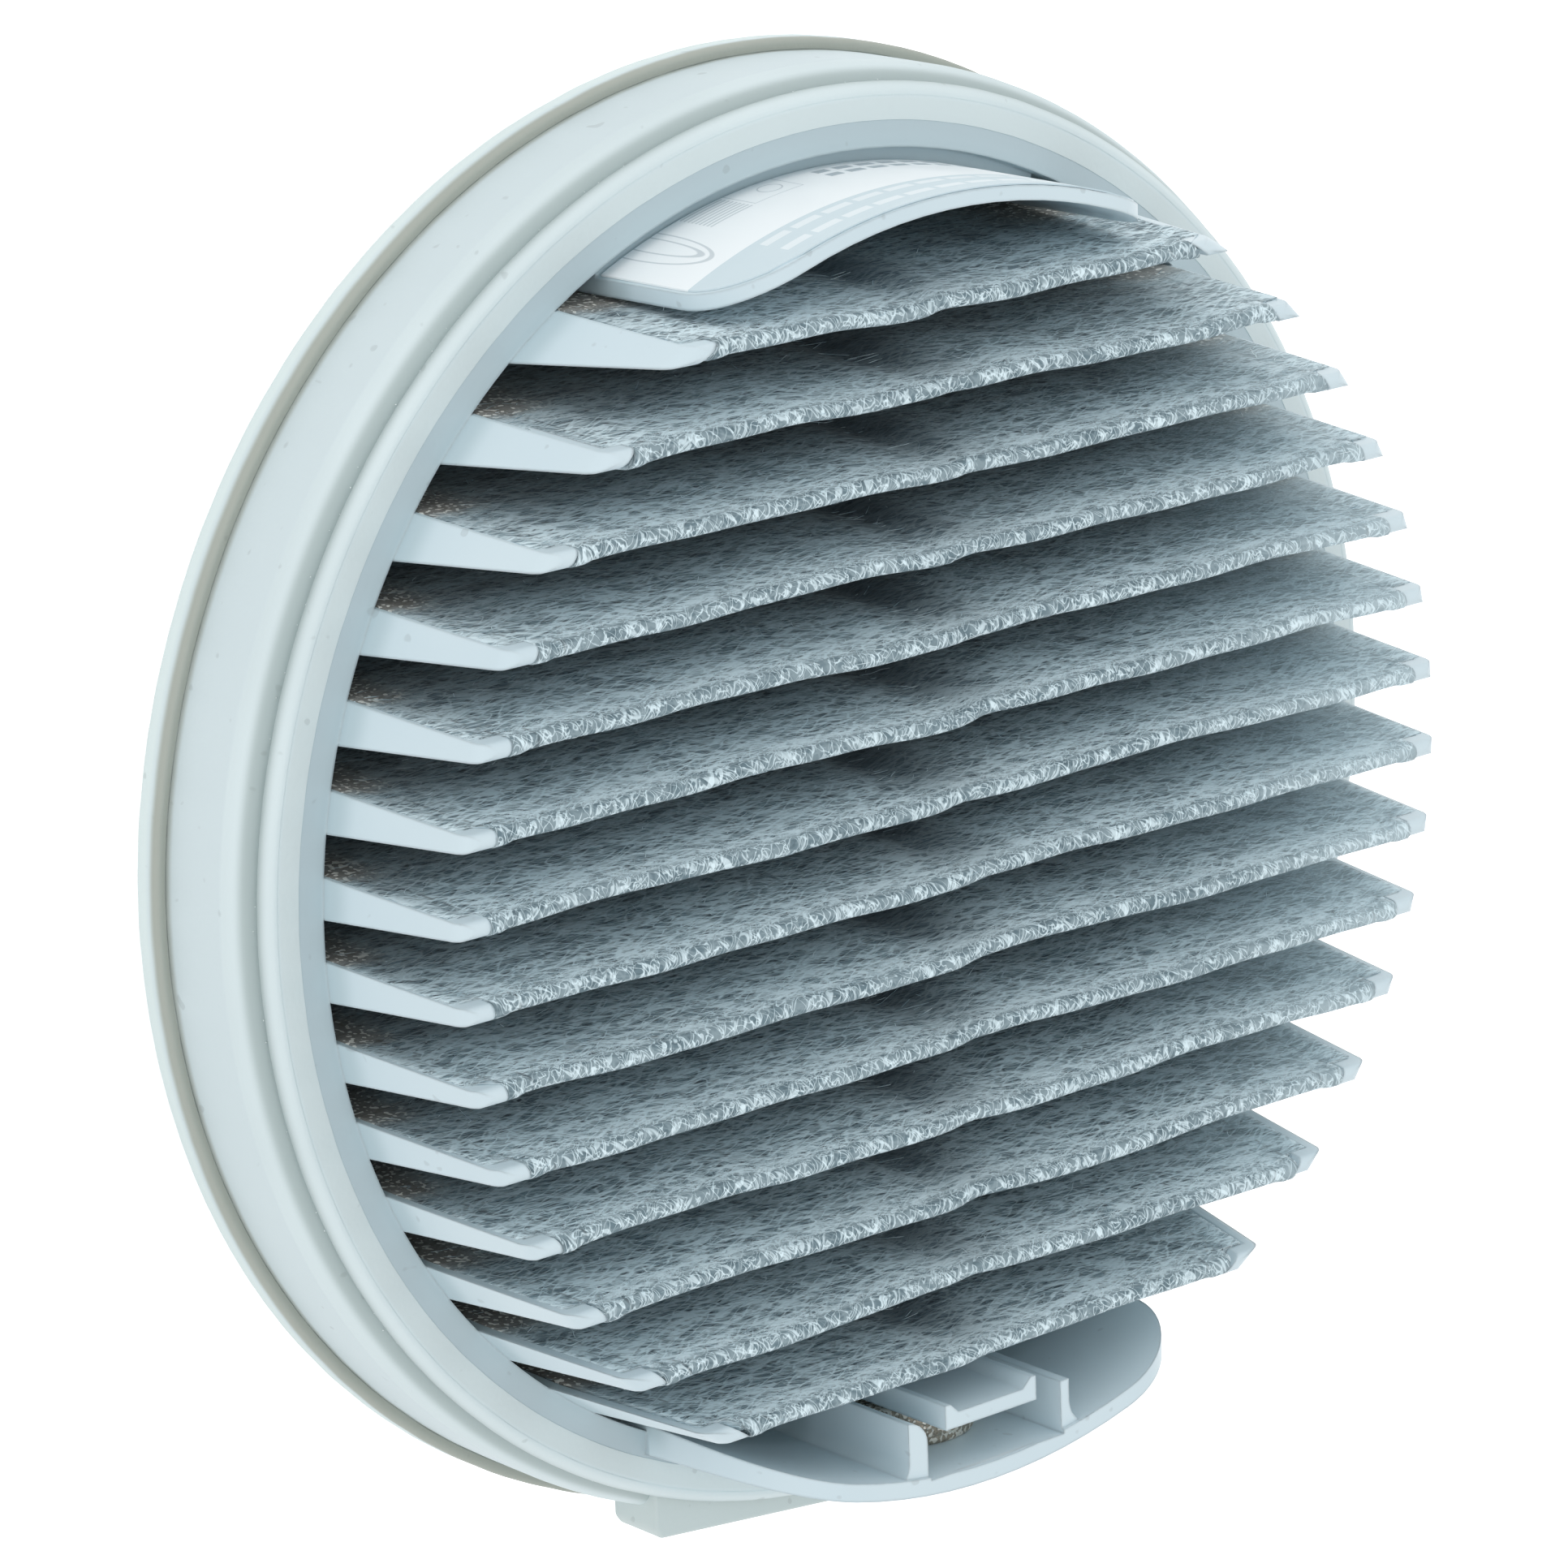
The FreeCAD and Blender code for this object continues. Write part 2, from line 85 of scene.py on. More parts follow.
class Desk:
    """A node tree to work on, with short calls for the nodes that the filter's looks need."""

    def __init__(self, tree: bpy.types.NodeTree) -> None:
        """Takes the tree that the nodes go into."""
        self.tree = tree

    def feed(self, socket: Socket, value: Value) -> None:
        """Joins a socket to another one, or sets it to a plain value.

        Args:
            socket: The input to feed.
            value: The socket or the plain value that it gets.
        """
        if isinstance(value, Socket):
            self.tree.links.new(value, socket)
        else:
            socket.default_value = value

    def add(self, kind: str, inputs: Inputs | None = None, **settings: object) -> bpy.types.Node:
        """Adds a node, then sets its settings and feeds its inputs.

        Args:
            kind: The node's type name.
            inputs: A value or socket for each input, by name or number.
            **settings: The node's own settings.

        Returns:
            The node.
        """
        node = self.tree.nodes.new(kind)
        for name, value in settings.items():
            setattr(node, name, value)
        for key, value in (inputs or {}).items():
            self.feed(node.inputs[key], value)
        return node

    def math(self, operation: str, first: Value, second: Value = 0.0) -> Socket:
        """The result of one sum on two numbers."""
        return self.add("ShaderNodeMath", {0: first, 1: second}, operation=operation).outputs[0]

    def chain(self, operation: str, *values: Value) -> Socket:
        """The result of the same sum on several numbers, from the first to the last."""
        return reduce(lambda total, value: self.math(operation, total, value), values)

    def far_from(self, value: Value, middle: Value) -> Socket:
        """How far a number is from another one, either way."""
        return self.math("ABSOLUTE", self.math("SUBTRACT", value, middle))

    def remap(self, value: Value, low: float, high: float, to_low: float = 0.0,
              to_high: float = 1.0) -> Socket:
        """Carries a number from one range to another, with soft ends that it never leaves."""
        inputs = {0: value, 1: low, 2: high, 3: to_low, 4: to_high}
        return self.add("ShaderNodeMapRange", inputs, interpolation_type="SMOOTHSTEP").outputs[0]

    def vector(self, operation: str, first: Value, second: Value = (0, 0, 0)) -> bpy.types.Node:
        """A node that works on two vectors."""
        return self.add("ShaderNodeVectorMath", {0: first, 1: second}, operation=operation)

    def scaled(self, vector: Value, *scale: float) -> Socket:
        """A vector with each part multiplied by its own number."""
        return self.vector("MULTIPLY", vector, scale).outputs[0]

    def times(self, vector: Value, number: Value) -> Socket:
        """A vector with all its parts multiplied by one number."""
        return self.add("ShaderNodeVectorMath", {0: vector, "Scale": number}, operation="SCALE").outputs[0]

    def part(self, vector: Value, axis: str) -> Socket:
        """One part of a vector."""
        return self.add("ShaderNodeSeparateXYZ", {0: vector}).outputs[axis]

    def combined(self, x: Value = 0.0, y: Value = 0.0, z: Value = 0.0) -> Socket:
        """A vector from its three parts."""
        return self.add("ShaderNodeCombineXYZ", {0: x, 1: y, 2: z}).outputs[0]

    def mix(self, share: Value, first: Value, second: Value) -> Socket:
        """A colour between two colours."""
        return self.add("ShaderNodeMix", {0: share, 6: first, 7: second}, data_type="RGBA").outputs[2]

    def noise(self, vector: Value, scale: Value, detail: float = 2.0, distortion: Value = 0.0,
              dimensions: str = "3D") -> Socket:
        """Smooth noise around a half."""
        inputs = {"Vector": vector, "Scale": scale, "Detail": detail, "Distortion": distortion}
        return self.add("ShaderNodeTexNoise", inputs, noise_dimensions=dimensions).outputs[0]

    def own_noise(self, vector: Value, own: Value, scale: Value) -> bpy.types.Node:
        """A noise node that differs from one strewn thing to the next by its own number."""
        inputs = {"Vector": vector, "W": own, "Scale": scale, "Detail": 0.0}
        return self.add("ShaderNodeTexNoise", inputs, noise_dimensions="4D")

    def random_number(self, low: float, high: float, seed: Value) -> Socket:
        """A random number for each strewn thing."""
        inputs = {2: low, 3: high, "Seed": seed}
        return self.add("FunctionNodeRandomValue", inputs, data_type="FLOAT").outputs[1]

    def random_vector(self, low: Triple, high: Triple, seed: Value) -> Socket:
        """A random vector for each strewn thing."""
        inputs = {0: low, 1: high, "Seed": seed}
        return self.add("FunctionNodeRandomValue", inputs, data_type="FLOAT_VECTOR").outputs[0]

    def bump(self, strength: float, rise: float, height: Socket) -> bpy.types.Node:
        """A bump node for a field that rises by some millimetres."""
        return self.add("ShaderNodeBump", {"Strength": strength, "Distance": rise * MM, "Height": height})

    def attribute(self, name: str) -> Socket:
        """A number stored on the mesh."""
        return self.add("ShaderNodeAttribute", attribute_name=name).outputs["Fac"]

    def object_place(self) -> Socket:
        """Where a point of the filter is, in metres."""
        return self.add("ShaderNodeTexCoord").outputs["Object"]

    def flat_place(self) -> Socket:
        """Where a point is on the flat sheet or film that a piece is made of, in millimetres."""
        return self.add("ShaderNodeUVMap", uv_map=FLAT_MAP).outputs[0]

    def seen_plainly(self) -> Socket:
        """Tells the rays that come from the camera, from a gloss or through glass.

        Returns:
            A mask of them.
        """
        rays = self.add("ShaderNodeLightPath").outputs
        kinds = ("Is Camera Ray", "Is Glossy Ray", "Is Transmission Ray")
        return self.chain("MAXIMUM", *[rays[kind] for kind in kinds])


@dataclass(frozen=True)
class Ramp:
    """A level that changes softly from one number to another, and stays as it is beyond them."""

    start: float
    end: float
    from_level: float = 0.0
    to_level: float = 1.0

    def read(self, desk: Desk, value: Value) -> Socket:
        """The level at a number."""
        return desk.remap(value, self.start, self.end, self.from_level, self.to_level)


class Effect:
    """A shader node group with named inputs, which several finishes share."""

    name = "effect"
    inputs: dict[str, float] = {}
    outputs: tuple[str, ...] = ("Mask",)

    def tree(self) -> bpy.types.NodeTree:
        """The group, built at its first use.

        Returns:
            The node group.
        """
        known = bpy.data.node_groups.get(self.name)
        if known is not None:
            return known
        tree = bpy.data.node_groups.new(self.name, "ShaderNodeTree")
        sockets = tree.interface
        sockets.new_socket(name="Vector", in_out="INPUT", socket_type="NodeSocketVector")
        for name, level in self.inputs.items():
            socket = sockets.new_socket(name=name, in_out="INPUT", socket_type="NodeSocketFloat")
            socket.default_value = level
        for name in self.outputs:
            kind = "NodeSocketVector" if name == "Normal" else "NodeSocketFloat"
            sockets.new_socket(name=name, in_out="OUTPUT", socket_type=kind)
        desk = Desk(tree)
        entry = tree.nodes.new("NodeGroupInput")
        results = self.build(desk, {socket.name: socket for socket in entry.outputs if socket.name})
        desk.add("NodeGroupOutput", dict(zip(self.outputs, results)))
        return tree

    def build(self, desk: Desk, given: dict[str, Socket]) -> tuple[Socket, ...]:
        """Makes the group's inside.

        Args:
            desk: The group's nodes.
            given: The group's inputs by name.

        Returns:
            One socket for each output.
        """
        raise NotImplementedError

    def place(self, desk: Desk, vector: Socket, **values: Value) -> bpy.types.Node:
        """Puts the group into a material.

        Args:
            desk: The material's nodes.
            vector: The place that the effect reads.
            **values: Its other inputs by name.

        Returns:
            The group's node.
        """
        return desk.add("ShaderNodeGroup", {"Vector": vector, **values}, node_tree=self.tree())

    def mask(self, desk: Desk, vector: Socket, **values: Value) -> Socket:
        """Puts the group into a material and gives its mask."""
        return self.place(desk, vector, **values).outputs["Mask"]


class FibreLines(Effect):
    """Thin curving lines, as single fibres look on a non-woven sheet."""

    name = "fibre_lines"
    inputs = {"Scale": 1.0, "Width": 0.03, "Twist": 0.4}

    def build(self, desk: Desk, given: dict[str, Socket]) -> tuple[Socket, ...]:
        """Keeps the places where a smooth noise passes through its middle."""
        off_line = desk.far_from(desk.noise(given["Vector"], given["Scale"], 1.0, given["Twist"], "2D"), 0.5)
        return (desk.remap(desk.math("DIVIDE", off_line, given["Width"]), 0.0, 1.0, 1.0, 0.0),)


class Mottle(Effect):
    """Large soft patches, for colour and sheen that change slowly over a piece."""

    name = "mottle"
    inputs = {"Scale": 100.0}
    widening = Ramp(0.3, 0.7)

    def build(self, desk: Desk, given: dict[str, Socket]) -> tuple[Socket, ...]:
        """Widens a noise to the whole range."""
        return (self.widening.read(desk, desk.noise(given["Vector"], given["Scale"], 1.0)),)


class Speckle(Effect):
    """Small grains, where a fine noise is above a level."""

    name = "speckle"
    inputs = {"Scale": 1000.0, "Level": 0.7}
    softness = 0.06

    def build(self, desk: Desk, given: dict[str, Socket]) -> tuple[Socket, ...]:
        """Keeps the peaks of the noise."""
        above = desk.math("SUBTRACT", desk.noise(given["Vector"], given["Scale"], 0.0), given["Level"])
        return (desk.remap(above, 0.0, self.softness),)


class RingZone(Effect):
    """A band round the filter's axis, between two radii and two heights in millimetres."""

    name = "ring_zone"
    inputs = {"Inner": 0.0, "Outer": 60.0, "Low": 0.0, "High": 30.0, "Softness": 0.1}

    def build(self, desk: Desk, given: dict[str, Socket]) -> tuple[Socket, ...]:
        """Multiplies a soft step at each of the four borders.

        Args:
            desk: The group's nodes.
            given: The place, the two radii, the two heights and the softness.

        Returns:
            The mask alone.
        """
        out = desk.vector("LENGTH", desk.scaled(given["Vector"], 1 / MM, 1 / MM, 0)).outputs["Value"]
        up = desk.math("DIVIDE", desk.part(given["Vector"], "Z"), MM)
        steps = []
        for ahead, behind in (
            (out, given["Inner"]), (given["Outer"], out), (up, given["Low"]), (given["High"], up),
        ):
            beyond = desk.math("DIVIDE", desk.math("SUBTRACT", ahead, behind), given["Softness"])
            steps.append(desk.remap(beyond, -0.5, 0.5))
        return (desk.chain("MULTIPLY", *steps),)


class SoftEdges(Effect):
    """A normal that rounds sharp edges, and a mask of those edges that the painted edge highlight uses."""

    name = "soft_edges"
    inputs = {"Radius": 0.0003}
    outputs = ("Normal", "Mask")
    sharpness = Ramp(0.99, 0.8)

    def build(self, desk: Desk, given: dict[str, Socket]) -> tuple[Socket, ...]:
        """Compares the rounded normal with the true one.

        Args:
            desk: The group's nodes.
            given: The place and the radius.

        Returns:
            The rounded normal and the mask.
        """
        rounded = desk.add("ShaderNodeBevel", {"Radius": given["Radius"]}, samples=2).outputs[0]
        true = desk.add("ShaderNodeNewGeometry").outputs["True Normal"]
        likeness = desk.vector("DOT_PRODUCT", rounded, true).outputs["Value"]
        return rounded, self.sharpness.read(desk, likeness)


# Finishes

class Finish:
    """A material of the filter."""

    name: str

    def material(self) -> bpy.types.Material:
        """The material, built at its first use.

        Returns:
            The material.
        """
        known = bpy.data.materials.get(self.name)
        if known is not None:
            return known
        material = bpy.data.materials.new(self.name)
        material.use_nodes = True
        self.dress(Desk(material.node_tree), material.node_tree.nodes["Principled BSDF"])
        return material

    def dress(self, desk: Desk, shader: bpy.types.Node) -> None:
        """Feeds the material's shader.

        Args:
            desk: The material's nodes.
            shader: Its Principled BSDF.
        """
        raise NotImplementedError

    def put_on(self, piece: bpy.types.Object) -> None:
        """Gives a piece this one material.

        Args:
            piece: A new piece without a material, or a CAD node with its slots.
        """
        material = self.material()
        if piece.material_slots:
            for slot in piece.material_slots:
                slot.link = "OBJECT"
                slot.material = material
        else:
            piece.data.materials.append(material)


@dataclass(frozen=True)
class Zone:
    """A zone round the filter's axis, between two radii and two heights, with soft borders."""

    inner: float
    outer: float
    low: float
    high: float
    softness: float

    def mask(self, desk: Desk, place: Socket) -> Socket:
        """The mask of the zone."""
        return RingZone().mask(desk, place, Inner=self.inner, Outer=self.outer, Low=self.low, High=self.high,
                               Softness=self.softness)


@dataclass(frozen=True)
class Tint:
    """A colour that a moulding has in one zone, and how much of it shows."""

    colour: Colour
    share: float
    zone: Zone


@dataclass(frozen=True)
class Moulding(Finish):
    """Satin moulded plastic or soft seal material, with its grain, patches and a painted highlight on its
    edges.
    """

    name: str
    colour: Colour
    patch_colour: Colour
    edge_highlight_colour: Colour
    roughness: float
    grain: float
    edge_radius: float = 0.0
    dust: float = 0.79
    tints: tuple[Tint, ...] = ()
    patch_scale: float = 60.0
    grain_scale: float = 2600.0
    grain_rise: float = 0.04
    edge_highlight_share: float = 0.5
    dust_scale: float = 900.0
    dust_share: float = 0.2
    dust_colour: Colour = srgb(120, 128, 128)
    gloss_change: float = 0.05

    def dress(self, desk: Desk, shader: bpy.types.Node) -> None:
        """Feeds colour with a painted highlight on the edges, roughness and a fine grain.

        Args:
            desk: The material's nodes.
            shader: Its Principled BSDF.
        """
        place = desk.object_place()
        patches = Mottle().mask(desk, place, Scale=self.patch_scale)
        colour = desk.mix(patches, self.colour, self.patch_colour)
        for tint in self.tints:
            share = desk.math("MULTIPLY", tint.zone.mask(desk, place), tint.share)
            colour = desk.mix(share, colour, tint.colour)
        bump = desk.bump(self.grain, self.grain_rise, desk.noise(place, self.grain_scale, 1.0))
        # painted highlight: the rounded edges get a paler colour through the edge mask
        if self.edge_radius:
            edges = SoftEdges().place(desk, place, Radius=self.edge_radius * MM).outputs
            colour = desk.mix(desk.math("MULTIPLY", edges["Mask"], self.edge_highlight_share), colour, self.edge_highlight_colour)
            desk.feed(bump.inputs["Normal"], edges["Normal"])
        specks = Speckle().mask(desk, place, Scale=self.dust_scale, Level=self.dust)
        colour = desk.mix(desk.math("MULTIPLY", specks, self.dust_share), colour, self.dust_colour)
        smooth, rough = self.roughness - self.gloss_change, self.roughness + self.gloss_change
        desk.feed(shader.inputs["Base Color"], colour)
        desk.feed(shader.inputs["Roughness"], desk.remap(patches, 0, 1, smooth, rough))
        desk.feed(shader.inputs["Normal"], bump.outputs[0])


@dataclass(frozen=True)
class FibreLayer:
    """One layer of fibres drawn on the sheet: the way it runs, how long and close its fibres lie."""

    turn: float
    along: float
    across: float
    width: float
    twist: float
    weight: float


@dataclass(frozen=True)
class NonWoven(Finish):
    """The grey non-woven sheet: a blue-grey web under pale fibres, denser and curled up at the folds.

    Depths are below the top of a fold, and all lengths are in millimetres on the flat sheet.
    """

    name: str = "non_woven_sheet"
    web_dark: Colour = srgb(66, 84, 93)
    web_pale: Colour = srgb(116, 138, 147)
    web_bright: Colour = srgb(136, 159, 169)
    pit_colour: Colour = srgb(30, 41, 48)
    fibre: Colour = srgb(224, 243, 250)
    fold_base: Colour = srgb(106, 127, 136)
    # painted shade beside the crease in the middle of each pleat
    crease_shade: Colour = srgb(66, 82, 92)
    grit: Colour = srgb(120, 116, 108)
    spark: Colour = srgb(240, 240, 232)
    layers: tuple[FibreLayer, ...] = (
        FibreLayer(0.05, 5.0, 0.65, 0.085, 0.4, 0.60),
        FibreLayer(0.35, 4.5, 0.80, 0.080, 0.4, 0.60),
        FibreLayer(-0.40, 4.5, 0.85, 0.080, 0.4, 0.60),
        FibreLayer(0.90, 3.5, 1.10, 0.075, 0.6, 0.60),
    )
    curls: tuple[FibreLayer, ...] = (
        FibreLayer(0.60, 1.3, 0.55, 0.060, 0.8, 0.75),
        FibreLayer(-0.70, 1.4, 0.50, 0.060, 0.8, 0.75),
    )
    layer_shift: Pair = (17.0, 31.0)
    cloud_scale: Pair = (0.16, 0.5)
    clouds: Ramp = Ramp(0.34, 0.66)
    pit_scale: Pair = (0.9, 4.4)
    pit_twist: float = 0.4
    pits: Ramp = Ramp(0.38, 0.47, 0.8, 0.0)
    cover: Ramp = Ramp(0.0, 17.0, 1.0, 0.0)
    cover_share: float = 0.75
    thinning: Ramp = Ramp(0.0, 1.0, 0.3, 1.0)
    fold: Ramp = Ramp(0.6, 4.5, 1.0, 0.1)
    cap: Ramp = Ramp(0.5, 1.6, 1.0, 0.0)
    cap_share: float = 0.8
    crease_shade_share: float = 0.75
    end_crease: float = 2.25
    end_crease_line: Ramp = Ramp(0.05, 0.22, 0.45, 0.0)
    end_crease_scale: float = 1.1
    end_crease_gaps: Ramp = Ramp(0.46, 0.6)
    root_zone: Zone = Zone(44.5, 60.0, -5.0, 14.0, 3.0)
    root_share: float = 0.8
    grit_scale: float = 2600.0
    grit_level: float = 0.6
    # painted backlight: the sheet turns paler towards the right ends of the pleats
    glow: Ramp = Ramp(16.0 * MM, 50.0 * MM, 0.0, 0.42)
    fluff_stretch: Pair = (0.5, 1.0)
    fluff_scale: float = 4.0
    fluff_strength: float = 0.8
    fluff_rise: float = 0.10
    gloss: Ramp = Ramp(0, 1, 0.95, 0.7)

    def drawn(self, desk: Desk, flat_place: Socket, layers: tuple[FibreLayer, ...]) -> Socket:
        """Draws several fibre layers, each shifted so that none repeats another.

        Args:
            desk: The material's nodes.
            flat_place: The place on the flat sheet.
            layers: The layers to draw.

        Returns:
            The sum of the layers, at most 1.
        """
        total: Value = 0.0
        for index, layer in enumerate(layers):
            turned = desk.add("ShaderNodeMapping", {
                "Vector": flat_place,
                "Location": (self.layer_shift[0] * index, self.layer_shift[1] * index, 0),
                "Rotation": (0, 0, layer.turn),
                "Scale": (layer.along, layer.across, 1),
            }, vector_type="TEXTURE").outputs[0]
            lines = FibreLines().mask(desk, turned, Scale=1.0, Width=layer.width, Twist=layer.twist)
            total = desk.math("ADD", total, desk.math("MULTIPLY", lines, layer.weight))
        return desk.math("MINIMUM", total, 1.0)

    def web(self, desk: Desk, flat_place: Socket, cover: Socket) -> Socket:
        """Colours the web under the drawn fibres, with clouds and small dark pits along the pleat.

        Args:
            desk: The material's nodes.
            flat_place: The place on the flat sheet.
            cover: How thickly pale fibres cover the web.

        Returns:
            The colour.
        """
        clouds = desk.noise(desk.scaled(flat_place, *self.cloud_scale, 1), 1.0, dimensions="2D")
        pits = desk.noise(desk.scaled(flat_place, *self.pit_scale, 1), 1.0, 2.0, self.pit_twist, "2D")
        web = desk.mix(self.clouds.read(desk, clouds), self.web_dark, self.web_pale)
        web = desk.mix(desk.math("MULTIPLY", cover, self.cover_share), web, self.web_bright)
        return desk.mix(self.pits.read(desk, pits), web, self.pit_colour)

    def ends(self, desk: Desk, flat_place: Socket, colour: Socket) -> Socket:
        """Draws the dashed crease beside the sheet's moulded ends.

        Args:
            desk: The material's nodes.
            flat_place: The place on the flat sheet.
            colour: The colour so far.

        Returns:
            The colour with the crease.
        """
        off = desk.far_from(desk.attribute("from_end"), self.end_crease)
        broken = desk.noise(flat_place, self.end_crease_scale, dimensions="2D")
        line, gaps = self.end_crease_line.read(desk, off), self.end_crease_gaps.read(desk, broken)
        return desk.mix(desk.math("MULTIPLY", line, gaps), colour, self.pit_colour)

    def roots(self, desk: Desk, colour: Socket) -> Socket:
        """Strews sparkling grit where the sheet runs into the ring.

        Args:
            desk: The material's nodes.
            colour: The colour so far.

        Returns:
            The colour with the grit.
        """
        place = desk.object_place()
        grains = Speckle().mask(desk, place, Scale=self.grit_scale, Level=self.grit_level)
        share = desk.math("MULTIPLY", self.root_zone.mask(desk, place), self.root_share)
        return desk.mix(share, colour, desk.mix(grains, self.grit, self.spark))

    def dress(self, desk: Desk, shader: bpy.types.Node) -> None:
        """Feeds the web, the drawn fibres, the painted shade beside the creases and the grit, with a painted
        backlight that makes the sheet paler towards the right ends.

        Args:
            desk: The material's nodes.
            shader: Its Principled BSDF.
        """
        flat_place = desk.flat_place()
        depth = desk.attribute("depth")
        cover = self.cover.read(desk, depth)
        lines = self.drawn(desk, flat_place, self.layers)
        fibres = desk.math("MULTIPLY", lines, self.thinning.read(desk, cover))
        colour = desk.mix(fibres, self.web(desk, flat_place, cover), self.fibre)
        cap = desk.math("MULTIPLY", self.cap.read(desk, depth), self.cap_share)
        colour = desk.mix(cap, colour, self.fold_base)
        curls = desk.math("MULTIPLY", self.drawn(desk, flat_place, self.curls), self.fold.read(desk, depth))
        colour = desk.mix(curls, colour, self.fibre)
        # painted shade: the sheet is darkened beside the crease in the middle of each pleat
        crease = desk.math("MULTIPLY", desk.attribute("crease"), self.crease_shade_share)
        colour = desk.mix(crease, colour, self.crease_shade)
        colour = self.roots(desk, self.ends(desk, flat_place, colour))
        # painted backlight: paler towards the right ends, by place along the pleats
        along = desk.part(desk.object_place(), "X")
        colour = desk.mix(self.glow.read(desk, along), colour, self.fibre)
        fluff = desk.noise(desk.scaled(flat_place, *self.fluff_stretch, 1), self.fluff_scale, 1.0, 0.0, "2D")
        bump = desk.bump(self.fluff_strength, self.fluff_rise, fluff)
        desk.feed(shader.inputs["Base Color"], colour)
        desk.feed(shader.inputs["Normal"], bump.outputs[0])
        desk.feed(shader.inputs["Roughness"], self.gloss.read(desk, fibres))
        shader.inputs["Sheen Weight"].default_value = 0.08
        shader.inputs["Specular IOR Level"].default_value = 0.25


@dataclass(frozen=True)
class LooseFibre(Finish):
    """The pale fibres that stand out of the sheet."""

    name: str = "loose_fibre"
    colour: Colour = srgb(232, 248, 253)
    shaded: Colour = srgb(168, 194, 206)
    tone_scale: float = 900.0
    tones: Ramp = Ramp(0.3, 0.7)
    gloss: Ramp = Ramp(0, 1, 0.45, 0.65)

    def dress(self, desk: Desk, shader: bpy.types.Node) -> None:
        """Feeds a tone that changes from fibre to fibre.

        Args:
            desk: The material's nodes.
            shader: Its Principled BSDF.
        """
        tone = self.tones.read(desk, desk.noise(desk.object_place(), self.tone_scale, 0.0))
        desk.feed(shader.inputs["Base Color"], desk.mix(tone, self.shaded, self.colour))
        desk.feed(shader.inputs["Roughness"], self.gloss.read(desk, tone))


@dataclass(frozen=True)
class PrintedShape:
    """A plain shape on the label: its middle, and how far it reaches to each side and up and down."""

    across: float
    up: float
    half_width: float
    half_height: float


@dataclass(frozen=True)
class DashRows:
    """Rows of plain dashes: their heights, the step and share of a dash, their left end and strength.

    Steps are counted from a place far to the left, whole_steps away from the label's middle.
    """

    heights: Pair
    step: float
    share: float
    start: float
    strength: float
    half_height: Pair = (0.38, 0.48)
    softness: float = 0.1
    end_softness: float = 0.05
    whole_steps: float = 50.0

    def mask(self, desk: Desk, across: Socket, up: Socket) -> Socket:
        """Draws the rows.

        Args:
            desk: The material's nodes.
            across: The place across the label.
            up: The place up the label.

        Returns:
            The mask of the rows.
        """
        rows = [desk.remap(desk.far_from(up, height), *self.half_height, 1.0, 0.0) for height in self.heights]
        steps = desk.math("ADD", desk.math("DIVIDE", across, self.step), self.whole_steps)
        turn = desk.math("FRACT", steps)
        dashes = desk.remap(turn, self.share, self.share + self.end_softness, 1.0, 0.0)
        begun = desk.remap(across, self.start, self.start + self.softness, 0.0, self.strength)
        return desk.chain("MULTIPLY", desk.chain("MAXIMUM", *rows), dashes, begun)


